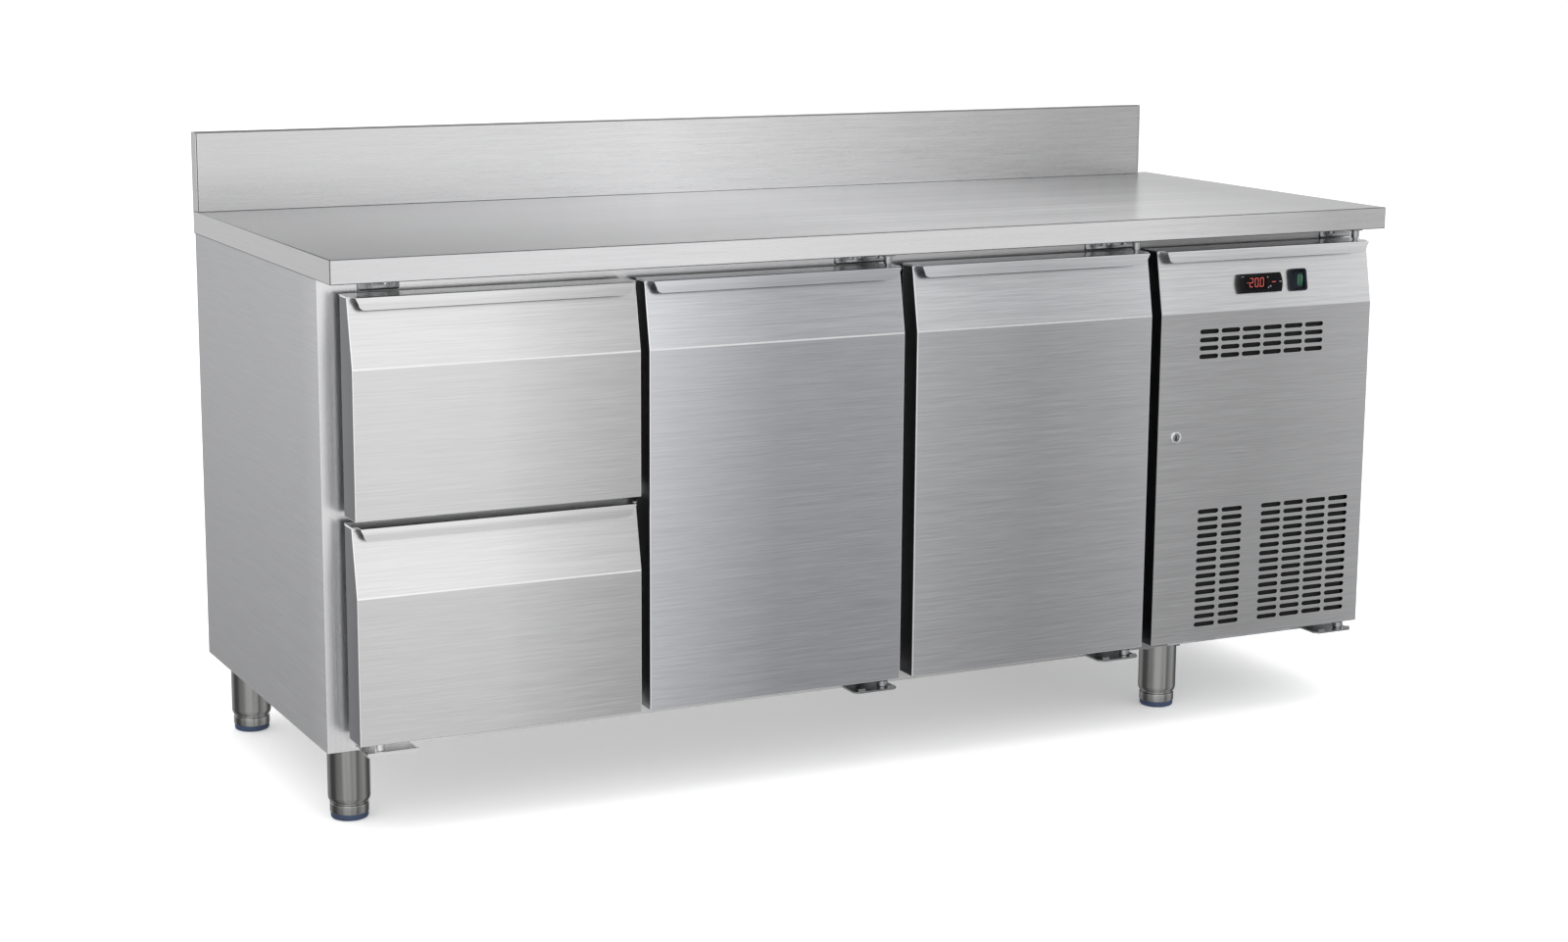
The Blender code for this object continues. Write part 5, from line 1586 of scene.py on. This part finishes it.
def dress_cad():
    """Gives each CAD node that still shows its node material."""
    looks = {
        "back_panel": "galvanised",
        "left_wall": "liner", "rear_wall": "liner", "tank_floor": "frame", "tank_ceiling": "frame",
        "compressor_partition": "liner", "compressor_base": "galvanised", "mullion_1": "frame",
        "mullion_2": "frame", "evaporator_cover": "liner", "evaporator_coil": "fins",
    }
    for node, look in looks.items():
        obj = frame["nodes"][node]
        obj.data.materials.clear()
        obj.data.materials.append(LOOKS[look])


# --- stage ----------------------------------------------------------------------------


# What the steel mirrors, as (turn from the front in degrees, brightness): positive turns go to +X
ROUND = (
    (-180, 0.45), (-164, 1.00), (-142, 0.95), (-130, 0.30), (-102, 0.30), (-84, 0.85), (-60, 1.00),
    (-46, 1.85), (-16, 1.85), (-4, 1.35), (8, 1.60), (15, 1.60), (20, 1.40), (25, 0.86),
    (30, 0.62), (36, 0.74), (42, 1.05), (55, 1.25), (70, 1.60), (85, 0.90), (102, 0.30),
    (118, 0.35), (132, 0.75), (142, 0.98), (151, 0.98), (158, 0.60), (166, 0.42), (180, 0.45),
)
# The same by height, as (sine of the height angle, brightness)
RISE = (
    (-0.50, 0.42), (-0.38, 0.42), (-0.28, 0.46), (-0.15, 0.72), (-0.07, 0.82), (0.07, 0.76),
    (0.20, 0.74), (0.50, 0.90),
)
WHITE_STRENGTH = 1.18
ROOM_STRENGTH = 4.0
FLOOR_SIDE = 60
FLOOR_GLOW = 0.30


def studio_world():
    """A white surround, with a graded room for the steel to mirror."""
    world = bpy.data.worlds.new("studio")
    SCENE.world = world
    world.use_nodes = True
    tree = world.node_tree
    white = tree.nodes["Background"]
    white.inputs["Color"].default_value = (1, 1, 1, 1)
    white.inputs["Strength"].default_value = WHITE_STRENGTH

    def node(kind, **settings):
        made = tree.nodes.new("ShaderNode" + kind)
        for label, value in settings.items():
            setattr(made, label, value)
        return made

    def ramp(source, stops, start, end):
        spread = node("MapRange")
        spread.inputs["From Min"].default_value = start
        spread.inputs["From Max"].default_value = end
        tree.links.new(source, spread.inputs["Value"])
        made = node("ValToRGB")
        elements = made.color_ramp.elements
        for at, level in stops:
            place = (at - start) / (end - start)
            if place <= 0:
                element = elements[0]
            elif place >= 1:
                element = elements[-1]
            else:
                element = elements.new(place)
            element.color = (level / 2, level / 2, level / 2, 1)
        tree.links.new(spread.outputs["Result"], made.inputs["Fac"])
        return made.outputs["Color"]

    coords = node("TexCoord")
    split = node("SeparateXYZ")
    tree.links.new(coords.outputs["Generated"], split.inputs[0])
    flip = node("Math", operation="MULTIPLY")
    flip.inputs[1].default_value = -1
    tree.links.new(split.outputs["Y"], flip.inputs[0])
    turn = node("Math", operation="ARCTAN2")
    tree.links.new(split.outputs["X"], turn.inputs[0])
    tree.links.new(flip.outputs[0], turn.inputs[1])
    round_it = ramp(turn.outputs[0], [(math.radians(d), v) for d, v in ROUND], -math.pi, math.pi)
    rise = ramp(split.outputs["Z"], RISE, -0.5, 0.5)
    both = node("Mix", data_type="RGBA", blend_type="MULTIPLY")
    both.inputs[0].default_value = 1
    tree.links.new(round_it, both.inputs[6])
    tree.links.new(rise, both.inputs[7])
    room = node("Background")
    room.inputs["Strength"].default_value = ROOM_STRENGTH
    tree.links.new(both.outputs[2], room.inputs["Color"])
    path = node("LightPath")
    pick = node("MixShader")
    tree.links.new(path.outputs["Is Glossy Ray"], pick.inputs[0])
    tree.links.new(white.outputs[0], pick.inputs[1])
    tree.links.new(room.outputs[0], pick.inputs[2])
    tree.links.new(pick.outputs[0], tree.nodes["World Output"].inputs["Surface"])


def stage():
    """Pale floor, two soft studio lights and a bright surround."""
    bm = bmesh.new()
    outline = rounded_rect(FLOOR_SIDE, FLOOR_SIDE, 5)
    add_loft(bm, [(outline, -0.02), (outline, -0.0002)])
    mesh = bpy.data.meshes.new("floor")
    bmesh.ops.recalc_face_normals(bm, faces=bm.faces)
    bm.to_mesh(mesh)
    bm.free()
    floor = bpy.data.objects.new("floor", mesh)
    SCENE.collection.objects.link(floor)
    look = Look("floor_paint", (0.93, 0.93, 0.93), 0.75)
    tone = look.noise(look.place((1.5, 1.5, 1.5)), 1.0, 3, 0.5)
    look.color(look.mix(look.span(tone, 0, 1), (0.925, 0.925, 0.925), (0.935, 0.935, 0.935)))
    look.shader.inputs["Emission Color"].default_value = (1, 1, 1, 1)
    look.shader.inputs["Emission Strength"].default_value = FLOOR_GLOW
    mesh.materials.append(look.made)
    floor.visible_glossy = False
    studio_world()

    def softbox(name, place, target, size, power):
        light = bpy.data.lights.new(name, "AREA")
        light.shape = "RECTANGLE"
        light.size, light.size_y = size
        light.energy = power
        obj = bpy.data.objects.new(name, light)
        SCENE.collection.objects.link(obj)
        obj.location = place
        aim = Vector(target) - Vector(place)
        obj.rotation_euler = aim.to_track_quat("-Z", "Y").to_euler()
        obj.visible_glossy = False

    softbox("key", (-3.2, -3.6, 3.4), (0, 0, 0.4), (3.0, 2.4), 24)
    softbox("top", (0.2, -0.6, 4.2), (0.1, 0, 0.8), (3.6, 2.2), 24)
    SCENE.view_settings.view_transform = "Standard"
    SCENE.view_settings.look = "None"


# The photograph's viewpoint, fitted to the counter's corners; FOCAL is in the photo's pixels
AZIMUTH = math.radians(-26.375)
ELEVATION = math.radians(11.044)
ROLL = math.radians(0.338)
CAMERA_AT = (-2.0593, -4.0318, 1.2959)
FOCAL = 2876.9
IMAGE_WIDTH = 1600
SENSOR = 36.0


def camera():
    """The photograph's viewpoint."""
    data = bpy.data.cameras.new("camera")
    data.sensor_width = SENSOR
    data.lens = FOCAL / IMAGE_WIDTH * SENSOR
    data.shift_x = 0.01174
    data.shift_y = -0.0045
    data.clip_start = 0.05
    data.clip_end = 200
    obj = bpy.data.objects.new("camera", data)
    SCENE.collection.objects.link(obj)
    back = Vector((
        math.sin(AZIMUTH) * math.cos(ELEVATION),
        -math.cos(AZIMUTH) * math.cos(ELEVATION),
        math.sin(ELEVATION),
    ))
    right = Vector((0, 0, 1)).cross(back).normalized()
    up = back.cross(right)
    tilted = right * math.cos(ROLL) + up * math.sin(ROLL)
    upright = up * math.cos(ROLL) - right * math.sin(ROLL)
    turn = Matrix((tilted, upright, back)).transposed().to_4x4()
    obj.matrix_world = Matrix.Translation(CAMERA_AT) @ turn
    SCENE.camera = obj


def main():
    camera()
    stage()
    dress_cad()
    top_sheet()
    upstand()
    side_sheet("left_side_panel")
    side_sheet("right_side_panel")
    for name in ("upper_drawer", "lower_drawer"):
        front(name, "drawer", name)
        liner(name, name)
        seal(name, name)
        drawer_box(name, name)
        for side in ("left", "right"):
            slide_rail(f"{name}_rail_{side}", f"{name}_rails")
    for name, look in (("centre_door", "centre"), ("right_door", "right")):
        front(name, look, name)
        liner(name, name)
        seal(name, name)
    service_panel()
    controller()
    switch()
    lock()
    hinges = (
        ("centre_door", "centre_door_skin", (0.012, 0.042), ((0.027, 0.009), (0.072, 0.007))),
        ("right_door", "right_door_skin", (0.013, 0.043), ((0.028, 0.007), (0.066, 0.009))),
        ("panel", "condenser_panel", (0.012,), ((0.026, 0.007),)),
    )
    for hinge in hinges:
        hinge_pair(*hinge)
    spare_bracket()
    for name in ("front_left", "front_right", "rear_left", "rear_right"):
        leg(name)
    for name in ("centre_shelf", "right_shelf"):
        wire_shelf(name)
    coil()
    shroud()
    fan_wheels()
    compressor_shell()
    pipes()
    tank_bolts()


main()
